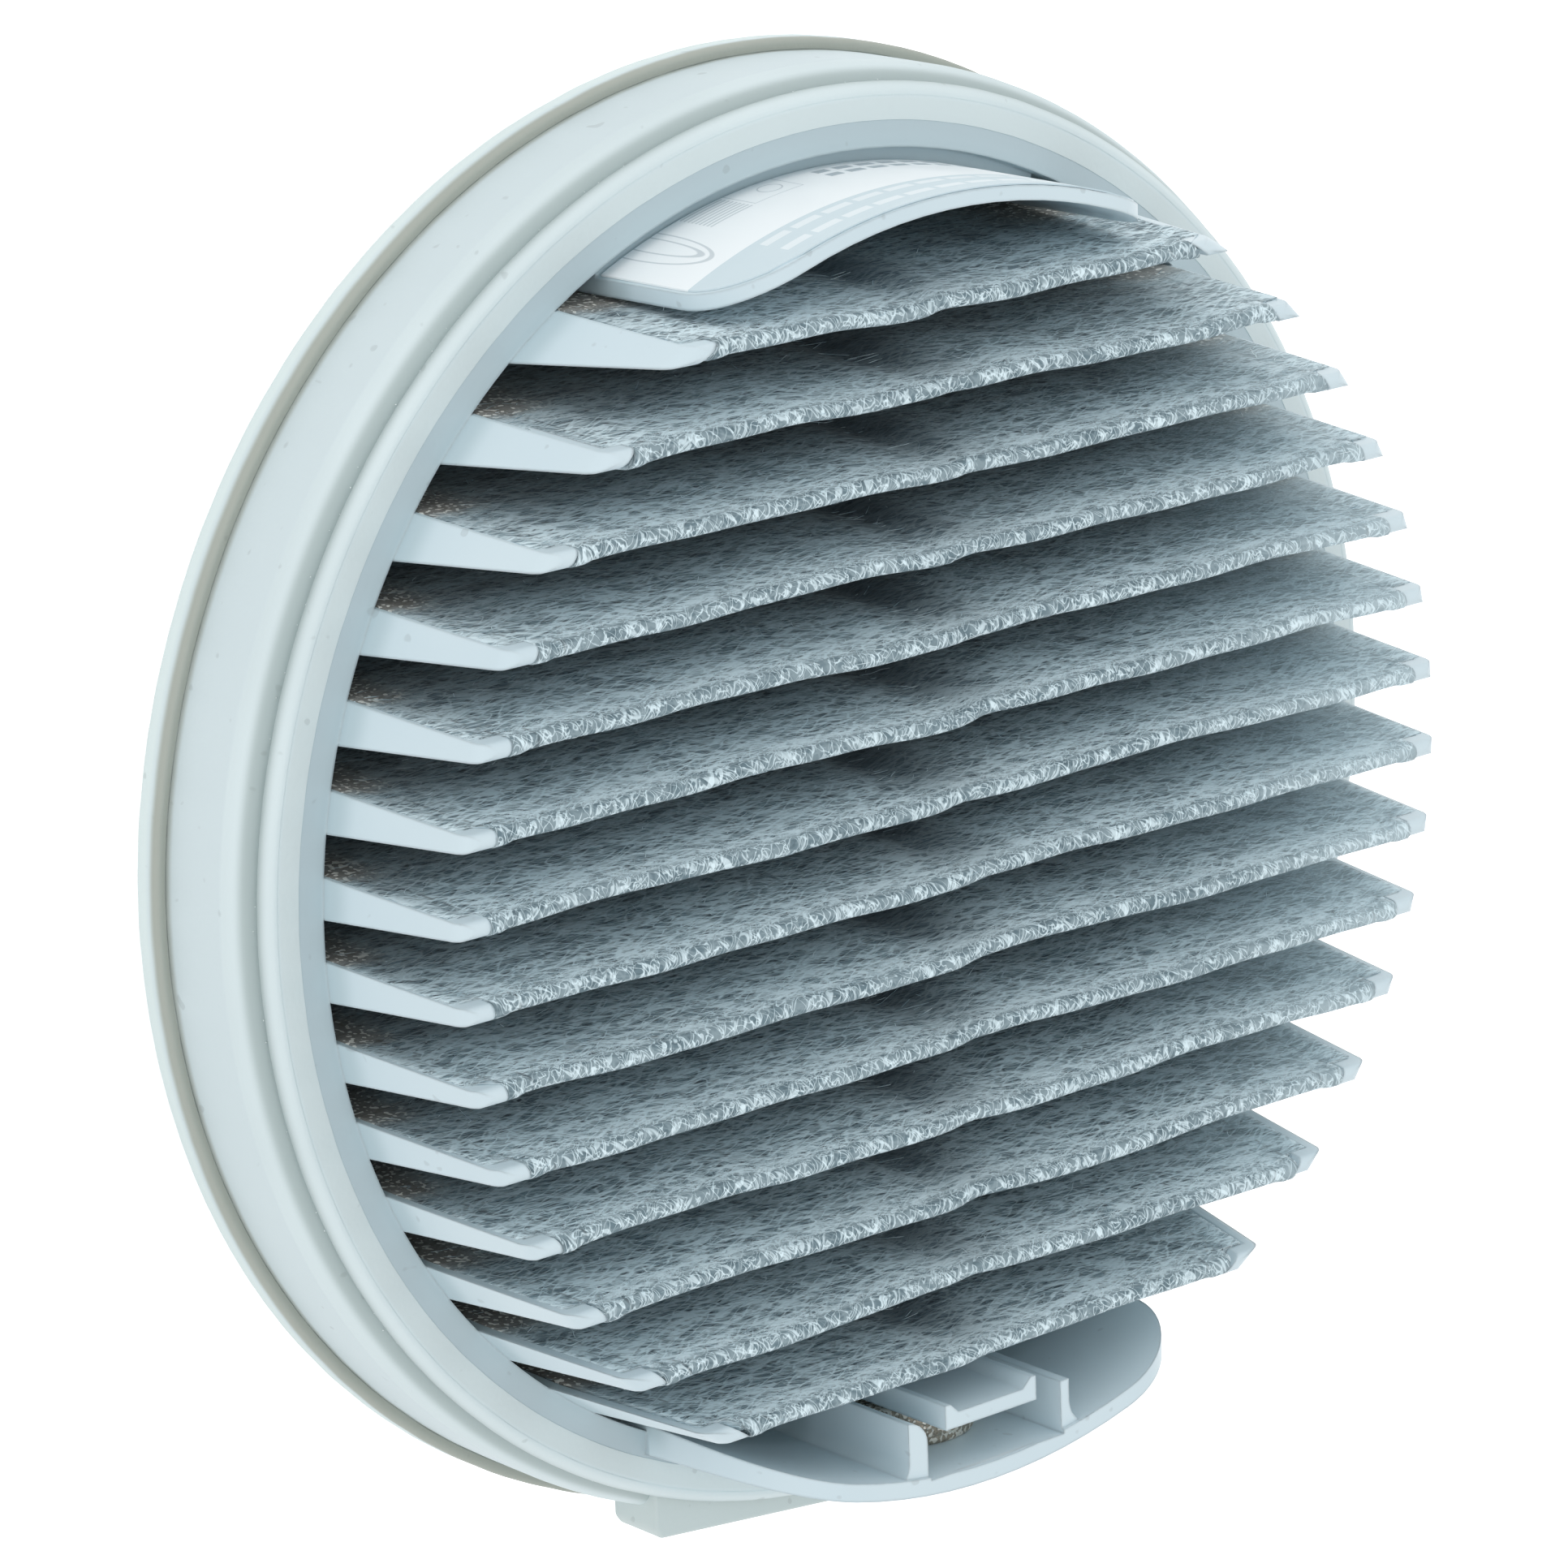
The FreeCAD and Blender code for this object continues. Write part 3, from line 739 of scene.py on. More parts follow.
@dataclass(frozen=True)
class LabelFilm(Finish):
    """The label's satin film: a white field, a grey band towards the front and plain printed shapes."""

    name: str = "printed_film"
    white: Colour = srgb(243, 250, 253)
    grey: Colour = srgb(206, 223, 230)
    ink: Colour = srgb(150, 166, 176)
    band: Ramp = Ramp(20.66, 20.74)
    line_width: float = 0.09
    text_rows: DashRows = DashRows((12.9, 14.4), 2.1, 0.7, -1.9, 0.8)
    band_rows: DashRows = DashRows((21.8, 24.0), 2.9, 0.8, -14.6, 0.6)
    ovals: tuple[PrintedShape, ...] = (
        PrintedShape(-17.2, 12.6, 1.75, 6.4),
        PrintedShape(-17.0, 12.6, 0.85, 5.2),
        PrintedShape(-6.3, 13.2, 0.9, 0.9),
    )
    block: PrintedShape = PrintedShape(-11.5, 12.4, 2.0, 2.7)
    hatch_step: float = 0.42
    hatch: Ramp = Ramp(0.45, 0.6)
    border: PrintedShape = PrintedShape(-6.9, 12.4, 2.3, 2.6)
    shape_strength: float = 0.5
    wear_scale: float = 220.0
    gloss: Ramp = Ramp(0, 1, 0.36, 0.46)

    def dress(self, desk: Desk, shader: bpy.types.Node) -> None:
        """Feeds the two fields, the rows of dashes and the shapes.

        Args:
            desk: The material's nodes.
            shader: Its Principled BSDF.
        """
        flat_place = desk.flat_place()
        across, up = desk.part(flat_place, "X"), desk.part(flat_place, "Y")
        dark = desk.chain("MAXIMUM", self.text_rows.mask(desk, across, up), self.shapes(desk, across, up))
        colour = desk.mix(self.band.read(desk, up), self.white, self.grey)
        colour = desk.mix(dark, colour, self.ink)
        colour = desk.mix(self.band_rows.mask(desk, across, up), colour, self.white)
        wear = Mottle().mask(desk, desk.object_place(), Scale=self.wear_scale)
        desk.feed(shader.inputs["Base Color"], colour)
        desk.feed(shader.inputs["Roughness"], self.gloss.read(desk, wear))

    def shapes(self, desk: Desk, across: Socket, up: Socket) -> Socket:
        """Draws two ovals, a hatched block, a frame and a circle.

        Args:
            desk: The material's nodes.
            across: The place across the label.
            up: The place up the label.

        Returns:
            The mask of the shapes.
        """
        outlines = [self.oval(desk, across, up, shape) for shape in self.ovals]
        lines = self.hatch.read(desk, desk.math("FRACT", desk.math("DIVIDE", up, self.hatch_step)))
        hatched = desk.math("MULTIPLY", lines, self.inside(desk, across, up, self.block))
        outer = self.inside(desk, across, up, self.border)
        inner = self.inside(desk, across, up, self.border, self.line_width)
        total = desk.chain("MAXIMUM", *outlines, hatched, desk.math("SUBTRACT", outer, inner))
        return desk.math("MULTIPLY", total, self.shape_strength)

    def oval(self, desk: Desk, across: Socket, up: Socket, shape: PrintedShape) -> Socket:
        """Draws an oval's outline.

        Args:
            desk: The material's nodes.
            across: The place across the label.
            up: The place up the label.
            shape: The oval.

        Returns:
            The mask of the outline.
        """
        aside = desk.math("DIVIDE", desk.math("SUBTRACT", across, shape.across), shape.half_width)
        above = desk.math("DIVIDE", desk.math("SUBTRACT", up, shape.up), shape.half_height)
        out = desk.vector("LENGTH", desk.combined(aside, above)).outputs["Value"]
        width = self.line_width / shape.half_width
        return desk.remap(desk.far_from(out, 1.0), width * 0.5, width, 1.0, 0.0)

    def inside(self, desk: Desk, across: Socket, up: Socket, shape: PrintedShape,
               inset: float = 0.0) -> Socket:
        """Fills a rectangle.

        Args:
            desk: The material's nodes.
            across: The place across the label.
            up: The place up the label.
            shape: The rectangle.
            inset: How much less it reaches on each side.

        Returns:
            The mask of its inside.
        """
        beside = desk.math("LESS_THAN", desk.far_from(across, shape.across), shape.half_width - inset)
        above = desk.math("LESS_THAN", desk.far_from(up, shape.up), shape.half_height - inset)
        return desk.math("MULTIPLY", beside, above)


@dataclass(frozen=True)
class NickelPlate(Finish):
    """Nickel plating with the coarse sparkle of a sintered magnet under it."""

    name: str = "nickel_plate"
    colour: Colour = srgb(232, 228, 218)
    dark: Colour = srgb(160, 152, 138)
    grain_scale: float = 3200.0
    grain_level: float = 0.48
    rough_scale: float = 2600.0
    bump_strength: float = 0.9
    bump_rise: float = 0.1
    gloss: Ramp = Ramp(0.35, 0.65, 0.25, 0.5)

    def dress(self, desk: Desk, shader: bpy.types.Node) -> None:
        """Feeds metal with pits and bright grains.

        Args:
            desk: The material's nodes.
            shader: Its Principled BSDF.
        """
        place = desk.object_place()
        grains = Speckle().mask(desk, place, Scale=self.grain_scale, Level=self.grain_level)
        rough = desk.noise(place, self.rough_scale, 3.0)
        bump = desk.bump(self.bump_strength, self.bump_rise, desk.math("ADD", rough, grains))
        desk.feed(shader.inputs["Base Color"], desk.mix(grains, self.dark, self.colour))
        desk.feed(shader.inputs["Roughness"], self.gloss.read(desk, rough))
        desk.feed(shader.inputs["Normal"], bump.outputs[0])
        shader.inputs["Metallic"].default_value = 0.7


ANNULUS = Tint(srgb(180, 198, 205), 1.0, Zone(48.3, 50.4, 12.1, 12.7, 0.25))
# painted shade: the annulus darkens towards the opening into the pleats
INNER_EDGE_SHADE = Tint(srgb(166, 184, 191), 0.35, Zone(46.0, 48.7, 12.1, 12.9, 0.6))
# painted shade: the ribs and the tab darken near where they meet the ring
RIB_ROOT_SHADE = Tint(srgb(185, 205, 212), 0.8, Zone(40.0, 48.9, 10.0, 14.5, 2.0))
BAND = Tint(srgb(212, 226, 230), 1.0, Zone(53.9, 54.4, 2.3, 8.6, 0.3))
TOP = Tint(srgb(213, 226, 228), 1.0, Zone(50.0, 51.7, 11.9, 12.6, 0.3))
# painted shade: a darker colour in the collar's groove, on top of the geometry's own shading
GROOVE_SHADE = Tint(srgb(170, 185, 185), 0.85, Zone(51.5, 53.7, 9.9, 11.6, 0.8))
RIM = Tint(srgb(226, 239, 239), 1.0, Zone(54.5, 55.5, -2.0, 1.2, 0.7))
# painted shade: the rear lip's front ledge darkens into the crevice at the band
CREVICE_SHADE = Tint(srgb(164, 169, 159), 0.9, Zone(54.0, 55.4, 1.65, 2.7, 0.7))
PLASTIC = Moulding("moulded_plastic", srgb(209, 226, 233), srgb(205, 223, 231), srgb(224, 238, 244),
                   roughness=0.42, grain=0.2, edge_radius=0.3, tints=(ANNULUS, INNER_EDGE_SHADE, RIB_ROOT_SHADE))
SEAL = Moulding("soft_seal", srgb(217, 231, 234), srgb(213, 227, 230), srgb(226, 236, 234),
                roughness=0.6, grain=0.4, dust=0.80, tints=(BAND, TOP, GROOVE_SHADE, RIM, CREVICE_SHADE))
KEY = Moulding("key_seal", srgb(202, 215, 215), srgb(197, 210, 210), srgb(216, 228, 228),
               roughness=0.55, grain=0.4, dust=0.77)
FLASH = Moulding("seal_flash", srgb(236, 244, 244), srgb(224, 234, 234), srgb(240, 246, 246),
                 roughness=0.5, grain=0.2)


# Meshes

def linked(name: str, data: bpy.types.ID) -> bpy.types.Object:
    """Puts a mesh, lamp or lens into the scene.

    Args:
        name: The object's name.
        data: The mesh, lamp or lens.

    Returns:
        The object, at the origin.
    """
    holder = bpy.data.objects.new(name, data)
    bpy.context.scene.collection.objects.link(holder)
    return holder


def new_piece(name: str, points: np.ndarray, faces: np.ndarray | list,
              smooth: bool = True) -> bpy.types.Object:
    """Makes a piece from points in millimetres.

    Args:
        name: The piece's name.
        points: One row of three coordinates for each point.
        faces: Point numbers of each face.
        smooth: Whether its faces are shaded smooth.

    Returns:
        The object, at the origin.
    """
    mesh = bpy.data.meshes.new(name)
    mesh.from_pydata((np.asarray(points) * MM).tolist(), [], [list(face) for face in faces])
    mesh.update()
    if smooth:
        mesh.shade_smooth()
    return linked(name, mesh)


def joined(name: str, meshes: list[bpy.types.Mesh]) -> bpy.types.Object:
    """Makes one piece from several plain meshes in metres.

    Args:
        name: The piece's name.
        meshes: The meshes.

    Returns:
        The object, at the origin.
    """
    points, faces, start = [], [], 0
    for mesh in meshes:
        count = len(mesh.vertices)
        place = np.empty(count * 3, dtype=np.float32)
        mesh.vertices.foreach_get("co", place)
        points.append(place.reshape(-1, 3))
        faces.extend([start + corner for corner in face.vertices] for face in mesh.polygons)
        start += count
    whole = bpy.data.meshes.new(name)
    whole.from_pydata(np.concatenate(points).tolist(), [], faces)
    whole.update()
    whole.shade_smooth()
    return linked(name, whole)


def baked(piece: bpy.types.Object) -> bpy.types.Object:
    """Turns the result of a piece's modifiers into its plain mesh.

    Args:
        piece: The piece with its modifiers.

    Returns:
        The same piece, without them.
    """
    bpy.context.view_layer.update()
    evaluated = piece.evaluated_get(bpy.context.evaluated_depsgraph_get())
    mesh = bpy.data.meshes.new_from_object(evaluated)
    piece.modifiers.clear()
    piece.data = mesh
    return piece


def store(mesh: bpy.types.Mesh, name: str, levels: np.ndarray) -> None:
    """Stores one number for each point of a mesh, for a material or a node tree to read."""
    values = levels.astype(np.float32)
    mesh.attributes.new(name, "FLOAT", "POINT").data.foreach_set("value", values)


def lay_flat(mesh: bpy.types.Mesh, flat: np.ndarray) -> None:
    """Stores where each point of a mesh is on its flat sheet, as a UV map.

    Args:
        mesh: The mesh.
        flat: One row of two coordinates for each point, in millimetres.
    """
    corners = np.empty(len(mesh.loops), dtype=np.int32)
    mesh.loops.foreach_get("vertex_index", corners)
    mesh.uv_layers.new(name=FLAT_MAP).data.foreach_set("uv", flat[corners].astype(np.float32).ravel())


def grid_faces(rows: int, columns: int, start: int = 0, flip: bool = False) -> np.ndarray:
    """Numbers the four-sided faces of a grid of points that is stored row by row.

    Args:
        rows: How many rows of points there are.
        columns: How many points a row has.
        start: The number of the grid's first point.
        flip: Whether the faces look the other way.

    Returns:
        One row of four point numbers for each face.
    """
    row, column = np.meshgrid(np.arange(rows - 1), np.arange(columns - 1), indexing="ij")
    corner = (start + row * columns + column).ravel()
    faces = np.stack([corner, corner + 1, corner + columns + 1, corner + columns], axis=1)
    return faces[:, ::-1] if flip else faces


def rim_faces(rows: int, columns: int) -> list[np.ndarray]:
    """Numbers the faces that close two grids of points along their four edges.

    Args:
        rows: How many rows of points each grid has.
        columns: How many points a row has.

    Returns:
        The faces of each edge, for a front grid that is stored before the back one.
    """
    count = rows * columns
    edges = [
        np.arange(columns),
        np.arange(rows) * columns + columns - 1,
        (np.arange(columns) + (rows - 1) * columns)[::-1],
        (np.arange(rows) * columns)[::-1],
    ]
    return [np.stack([edge[1:], edge[:-1], edge[:-1] + count, edge[1:] + count], axis=1) for edge in edges]


def rounded_outline(corners: tuple[Triple, ...], steps: int = 5, most: float = 0.49) -> np.ndarray:
    """Draws a closed outline with round corners.

    Args:
        corners: Across, up and the length that the rounding takes of each edge, for each corner.
        steps: How many points each round corner gets.
        most: The largest share of an edge that one corner's rounding takes.

    Returns:
        One row of two coordinates for each point.
    """
    places = np.array([corner[:2] for corner in corners])
    points = []
    for index, (_, _, reach) in enumerate(corners):
        here, before, after = places[index], places[index - 1], places[(index + 1) % len(corners)]
        if reach == 0:
            points.append(here)
            continue
        start = here + (before - here) * min(reach / np.linalg.norm(before - here), most)
        end = here + (after - here) * min(reach / np.linalg.norm(after - here), most)
        for share in np.linspace(0, 1, steps):
            points.append((1 - share)**2 * start + 2 * share * (1 - share) * here + share**2 * end)
    return np.array(points)


def smooth_step(value: np.ndarray) -> np.ndarray:
    """Goes softly from 0 to 1 between 0 and 1."""
    share = np.clip(value, 0, 1)
    return share * share * (3 - 2 * share)


def mount(piece: bpy.types.Object, finish: Finish, slot: str, *nodes: str) -> None:
    """Dresses a piece, sets it on the filter's body and hides the CAD nodes that it stands for.

    Args:
        piece: The piece.
        finish: Its material.
        slot: The record's material slot that the finish belongs to. Not used.
        *nodes: The CAD nodes that the piece replaces.
    """
    finish.put_on(piece)
    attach(piece, BODY)
    if nodes:
        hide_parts(*nodes)
    log.info("%s: %d faces", piece.name, len(piece.data.polygons))


class Strewing:
    """A Geometry Nodes tree with named inputs, which ends in plain geometry with a material."""

    name = "strewing"
    sockets: dict[str, str] = {}

    def tree(self) -> bpy.types.NodeTree:
        """The tree, built at its first use.

        Returns:
            The node tree.
        """
        known = bpy.data.node_groups.get(self.name)
        if known is not None:
            return known
        tree = bpy.data.node_groups.new(self.name, "GeometryNodeTree")
        for name, kind in {"Geometry": "Geometry", **self.sockets, "Material": "Material"}.items():
            tree.interface.new_socket(name=name, in_out="INPUT", socket_type="NodeSocket" + kind)
        tree.interface.new_socket(name="Geometry", in_out="OUTPUT", socket_type="NodeSocketGeometry")
        desk = Desk(tree)
        given = {socket.name: socket for socket in tree.nodes.new("NodeGroupInput").outputs if socket.name}
        whole = desk.add("GeometryNodeRealizeInstances", {0: self.build(desk, given)}).outputs[0]
        dressed = desk.add("GeometryNodeSetMaterial", {0: whole, "Material": given["Material"]})
        desk.add("NodeGroupOutput", {"Geometry": dressed.outputs[0]})
        return tree

    def build(self, desk: Desk, given: dict[str, Socket]) -> Socket:
        """Makes the tree's inside.

        Args:
            desk: The tree's nodes.
            given: The tree's inputs by name.

        Returns:
            The geometry that is strewn.
        """
        raise NotImplementedError

    def strew(self, piece: bpy.types.Object, values: dict[str, Value]) -> bpy.types.Object:
        """Runs the tree on a piece.

        Args:
            piece: The piece that things are strewn on, which they take the place of.
            values: The tree's inputs by name.

        Returns:
            The same piece, with the result as its plain mesh.
        """
        modifier = piece.modifiers.new(self.name, "NODES")
        modifier.node_group = self.tree()
        for item in modifier.node_group.interface.items_tree:
            if item.in_out == "INPUT" and item.name in values:
                modifier[item.identifier] = values[item.name]
        return baked(piece)


# The folded media

@dataclass(frozen=True)
class PleatShape:
    """The sizes of the folded sheet, as in the CAD source."""

    count: int = 14
    pitch: float = 6.0003
    first: float = 39.344
    tip: float = 26.45
    back: float = 1.6
    thickness: float = 0.5
    tip_fold: float = 0.05
    valley_fold: float = 1.03
    opening_radius: float = 48.17
    ring_front: float = 12.53
    rib_draft: float = 1.17
    rib_inset: float = 0.3
    end_cover: float = 0.14
    nose_inset: float = 2.5
    nose_start: float = 24.7
    nose_step: float = 0.05
    fold_points: int = 4
    flank_points: int = 11

    @property
    def tip_height(self) -> float:
        """How high the middle of a tip fold's circle is."""
        return self.tip - self.tip_fold - self.thickness

    @property
    def valley_height(self) -> float:
        """How high the middle of a valley fold's circle is."""
        return self.back + self.valley_fold + self.thickness

    @property
    def lean(self) -> float:
        """How far a flank leans from upright.

        Returns:
            The angle in radians.
        """
        rise = self.tip_height - self.valley_height
        distance = math.hypot(self.pitch / 2, rise)
        reach = self.tip_fold + self.thickness + self.valley_fold
        return math.atan(self.pitch / 2 / rise) - math.asin(reach / distance)

    @property
    def flat_width(self) -> float:
        """How wide the flat sheet is, between its moulded ends."""
        return 2 * (self.opening_radius - self.rib_inset)

    def centre(self, pleat: int) -> float:
        """Where a pleat's middle is across the pleats."""
        return self.first - pleat * self.pitch

    def half_line(self) -> np.ndarray:
        """Draws the middle line of half a pleat, from its valley up to the top of its tip.

        Returns:
            Across and up for each point of the line.
        """
        tip_radius = self.tip_fold + self.thickness / 2
        valley_radius = self.valley_fold + self.thickness / 2
        valley_turns = np.linspace(1.5 * math.pi, math.pi + self.lean, self.fold_points)
        valley = np.stack([self.pitch / 2 + valley_radius * np.cos(valley_turns),
                           self.valley_height + valley_radius * np.sin(valley_turns)], axis=1)
        tip_turns = np.linspace(self.lean, math.pi / 2, self.fold_points)
        tip = np.stack([tip_radius * np.cos(tip_turns),
                        self.tip_height + tip_radius * np.sin(tip_turns)], axis=1)
        heights = np.linspace(valley[-1, 1], self.nose_start - self.nose_step, self.flank_points)[1:]
        heights = np.append(heights, self.nose_start + self.nose_step)
        share = (heights - valley[-1, 1]) / (tip[0, 1] - valley[-1, 1])
        flank = valley[-1] + share[:, None] * (tip[0] - valley[-1])
        return np.concatenate([valley, flank, tip])

    def half_width(self, across: np.ndarray, up: np.ndarray) -> np.ndarray:
        """Works out how far the sheet reaches to each side.

        Args:
            across: How far across the pleats each place of the section is.
            up: How high it is.

        Returns:
            The reach at each place.
        """
        taper = np.clip((up - self.ring_front) / (self.tip - self.ring_front), 0, 1)
        radius = self.opening_radius - self.rib_draft * taper
        inset = np.where(up > self.nose_start, self.nose_inset, self.rib_inset)
        outer_face = np.abs(across) + self.thickness / 2 + self.end_cover
        return np.sqrt(radius**2 - outer_face**2) - inset


@dataclass(frozen=True)
class RestSheet:
    """The sheet before it is crumpled: its points and what is known of each of its rows.

    A row's flank is 1 on the side towards the tab, 0 on a tip and -1 on the side away from it.
    """

    points: np.ndarray
    pleats: np.ndarray
    flanks: np.ndarray
    along: np.ndarray
    tip: float

    @property
    def depth(self) -> np.ndarray:
        """How far each point is below the top of the pleats."""
        return self.tip - self.points[:, :, 2]

    @property
    def from_end(self) -> np.ndarray:
        """How far each point is from its row's nearer end."""
        across = np.abs(self.points[:, :, 0])
        return across.max(axis=1, keepdims=True) - across


@dataclass
class FoldedMedia:
    """The folded sheet: its waves, the kink and crease in the middle of each pleat, and its thick ends."""

    shape: PleatShape = field(default_factory=PleatShape)
    columns: int = 89
    seed: int = 7
    end_border: float = 3.0
    end_columns: tuple[float, ...] = (0.45, 0.7, 0.87, 1.0)
    cover_reach: float = 1.6
    cover_softness: float = 0.6
    back_shift: float = 3.0
    held_reach: float = 9.0
    wave: float = 0.16
    waves: tuple[Pair, ...] = ((55.0, 1.0), (26.0, 0.7), (11.0, 0.35))
    wave_change: Pair = (0.5, 1.2)
    wave_foot: float = 4.0
    ripples: tuple[Pair, ...] = ((17.0, 0.10), (7.5, 0.05))
    ripple_height: float = 3.5
    ridge: float = 0.08
    ridge_length: float = 4.1
    middle: Pair = (-2.2, 0.6)
    kink_step: float = 0.17
    kink_change: Pair = (0.6, 1.5)
    kink_width: float = 0.9
    kink_reach: float = 9.0
    kink_dip: float = 0.28
    dip_change: Pair = (0.5, 1.4)
    dip_width: float = 1.6
    crease: float = 0.85
    crease_change: Pair = (0.6, 1.3)
    crease_width: float = 1.6
    crease_foot: float = 6.0
    crease_bend: float = 0.8
    fold_room: float = 0.28
    room_share: float = 0.75
    shade_width: float = 3.2
    shade_shift: float = 1.0

    def rest(self) -> RestSheet:
        """Lays out the sheet before it is crumpled.

        Returns:
            The sheet's points and rows.
        """
        half = self.shape.half_line()
        other = half[-2::-1] * (-1, 1)
        line = np.concatenate([half, other])
        flank = np.concatenate([np.ones(len(half) - 1), [0], -np.ones(len(other))])
        rows, pleats, flanks = [], [], []
        for pleat in range(self.shape.count):
            skip = 0 if pleat == 0 else 1
            rows.append(line[skip:] + (self.shape.centre(pleat), 0))
            pleats.append(np.full(len(line) - skip, pleat))
            flanks.append(flank[skip:])
        section = np.concatenate(rows)
        inner = self.shape.half_width(section[:, 0], section[:, 1])[:, None] - self.end_border
        right = inner + np.array(self.end_columns) * self.end_border
        spread = np.linspace(-1, 1, self.columns - 2 * len(self.end_columns))
        across = np.concatenate([-right[:, ::-1], inner * spread, right], axis=1)
        points = np.stack([across, np.repeat(section[:, :1], self.columns, 1),
                           np.repeat(section[:, 1:], self.columns, 1)], axis=2)
        steps = np.linalg.norm(np.diff(section, axis=0), axis=1)
        return RestSheet(points, np.concatenate(pleats), np.concatenate(flanks),
                         np.append(0, np.cumsum(steps)), self.shape.tip)

    def waved(self, x: np.ndarray, chance: np.random.Generator) -> np.ndarray:
        """Draws the long waves of one pleat.

        Args:
            x: Where each point is along the pleat.
            chance: The source of random numbers.

        Returns:
            How far each point sways.
        """
        sway = np.zeros_like(x)
        for length, size in self.waves:
            phase = chance.uniform(0, FULL_TURN)
            reach = self.wave * size * chance.uniform(*self.wave_change)
            sway += reach * np.sin(FULL_TURN * x / length + phase)
        return sway

    def rippled(self, x: np.ndarray, z: np.ndarray, chance: np.random.Generator) -> np.ndarray:
        """Draws the short ripples of one pleat's flanks.

        Args:
            x: Where each point is along the pleat.
            z: How high it is.
            chance: The source of random numbers.

        Returns:
            How far each point moves.
        """
        ripple = np.zeros_like(x)
        for length, size in self.ripples:
            phase = chance.uniform(0, FULL_TURN, 2)
            along = size * np.sin(FULL_TURN * x / length + phase[0])
            ripple += along * np.sin(z / self.ripple_height + phase[1])
        return ripple

    def crumple(self, rest: RestSheet) -> tuple[np.ndarray, np.ndarray]:
        """Waves the folds, nips them in the middle and creases the flanks there.

        Args:
            rest: The sheet before it is crumpled.

        Returns:
            The moved points and how much painted shade each of them gets beside the crease.
        """
        chance = np.random.default_rng(self.seed)
        tip = self.shape.tip
        moved = rest.points.copy()
        painted_crease_shade = np.zeros(rest.points.shape[:2])
        for pleat in range(self.shape.count):
            rows = rest.pleats == pleat
            x, y, z = (rest.points[rows][:, :, axis] for axis in range(3))
            hold = smooth_step((np.abs(x).max() - np.abs(x)) / self.held_reach)
            lift = np.clip((z - self.wave_foot) / (tip - self.wave_foot), 0, 1)
            height = np.clip((z - self.crease_foot) / (tip - self.crease_foot), 0, 1)
            sway = self.waved(x, chance)
            off = x - chance.uniform(*self.middle)
            step = self.kink_step * chance.uniform(*self.kink_change)
            sway += step * np.tanh(off / self.kink_width) * np.exp(-np.abs(off) / self.kink_reach)
            dip = self.kink_dip * chance.uniform(*self.dip_change)
            dip = dip * np.exp(-(off / self.dip_width) ** 2) * lift**8
            room = np.clip(np.abs(y - self.shape.centre(pleat)) - self.fold_room, 0, None)
            along = np.sin(math.pi * height ** self.crease_bend) ** self.crease_bend
            pinch = np.minimum(self.crease * chance.uniform(*self.crease_change), self.room_share * room)
            pinch = pinch * np.exp(-(off / self.crease_width) ** 2) * along
            side = np.repeat(rest.flanks[rows][:, None], x.shape[1], 1)
            ripple = self.rippled(x, z, chance) * np.sin(math.pi * height)
            moved[rows, :, 1] = y + hold * (sway * lift**1.5 - side * pinch + ripple)
            ridge = hold * self.ridge * np.sin(x / self.ridge_length + pleat) * lift**6
            moved[rows, :, 2] = z - hold * dip + ridge
            # painted shade: how strongly the material darkens the sheet beside the crease
            painted_crease_shade[rows] = np.exp(-((off - self.shade_shift) / self.shade_width) ** 2) * along
        return moved, painted_crease_shade

    def normals(self, points: np.ndarray) -> np.ndarray:
        """Finds the unit normals of a grid of points, on the side of the pleat tips.

        Args:
            points: The grid's points.

        Returns:
            A normal for each point.
        """
        along_rows = np.gradient(points, axis=0)
        along_columns = np.gradient(points, axis=1)
        normal = np.cross(along_rows, along_columns)
        return normal / np.linalg.norm(normal, axis=2, keepdims=True)

    def build(self, rest: RestSheet) -> tuple[bpy.types.Object, np.ndarray, float]:
        """Makes the sheet as one closed piece.

        Args:
            rest: The sheet before it is crumpled.

        Returns:
            The piece, the points of its front face and the area of the flat sheet in square metres.
        """
        middle, painted_crease_shade = self.crumple(rest)
        cover = self.shape.end_cover * smooth_step((self.cover_reach - rest.from_end) / self.cover_softness)
        outward = self.normals(middle) * (self.shape.thickness / 2 + cover)[:, :, None]
        front, back = middle + outward, middle - outward
        rows, columns = front.shape[:2]
        faces = [grid_faces(rows, columns), grid_faces(rows, columns, rows * columns, True),
                 *rim_faces(rows, columns)]
        points = np.concatenate([front.reshape(-1, 3), back.reshape(-1, 3)])
        piece = new_piece("folded_media", points, np.concatenate(faces))
        self.mark(piece.data, rest, painted_crease_shade)
        return piece, front, self.area(middle)

    def mark(self, mesh: bpy.types.Mesh, rest: RestSheet, painted_crease_shade: np.ndarray) -> None:
        """Stores the place on the flat sheet, the depth, the nearness to an end and the painted shade beside
        the creases.

        Args:
            mesh: The sheet's mesh, its front face first.
            rest: The sheet before it is crumpled.
            painted_crease_shade: How much painted shade beside the crease each point gets.
        """
        along = np.repeat(rest.along[:, None], self.columns, 1)
        flat = np.stack([rest.points[:, :, 0], along], axis=2).reshape(-1, 2)
        lay_flat(mesh, np.concatenate([flat, flat + (0, self.back_shift)]))
        # the crease attribute carries the painted shade beside the crease
        for name, levels in (("depth", rest.depth), ("from_end", rest.from_end), ("crease", painted_crease_shade)):
            store(mesh, name, np.tile(levels.ravel(), 2))

    def area(self, middle: np.ndarray) -> float:
        """Measures the sheet's middle face.

        Args:
            middle: The points of the middle face.

        Returns:
            Its area in square metres.
        """
        first = middle[1:, :-1] - middle[:-1, :-1]
        second = middle[:-1, 1:] - middle[:-1, :-1]
        return float(np.linalg.norm(np.cross(first, second), axis=2).sum()) * MM**2


# The fibres

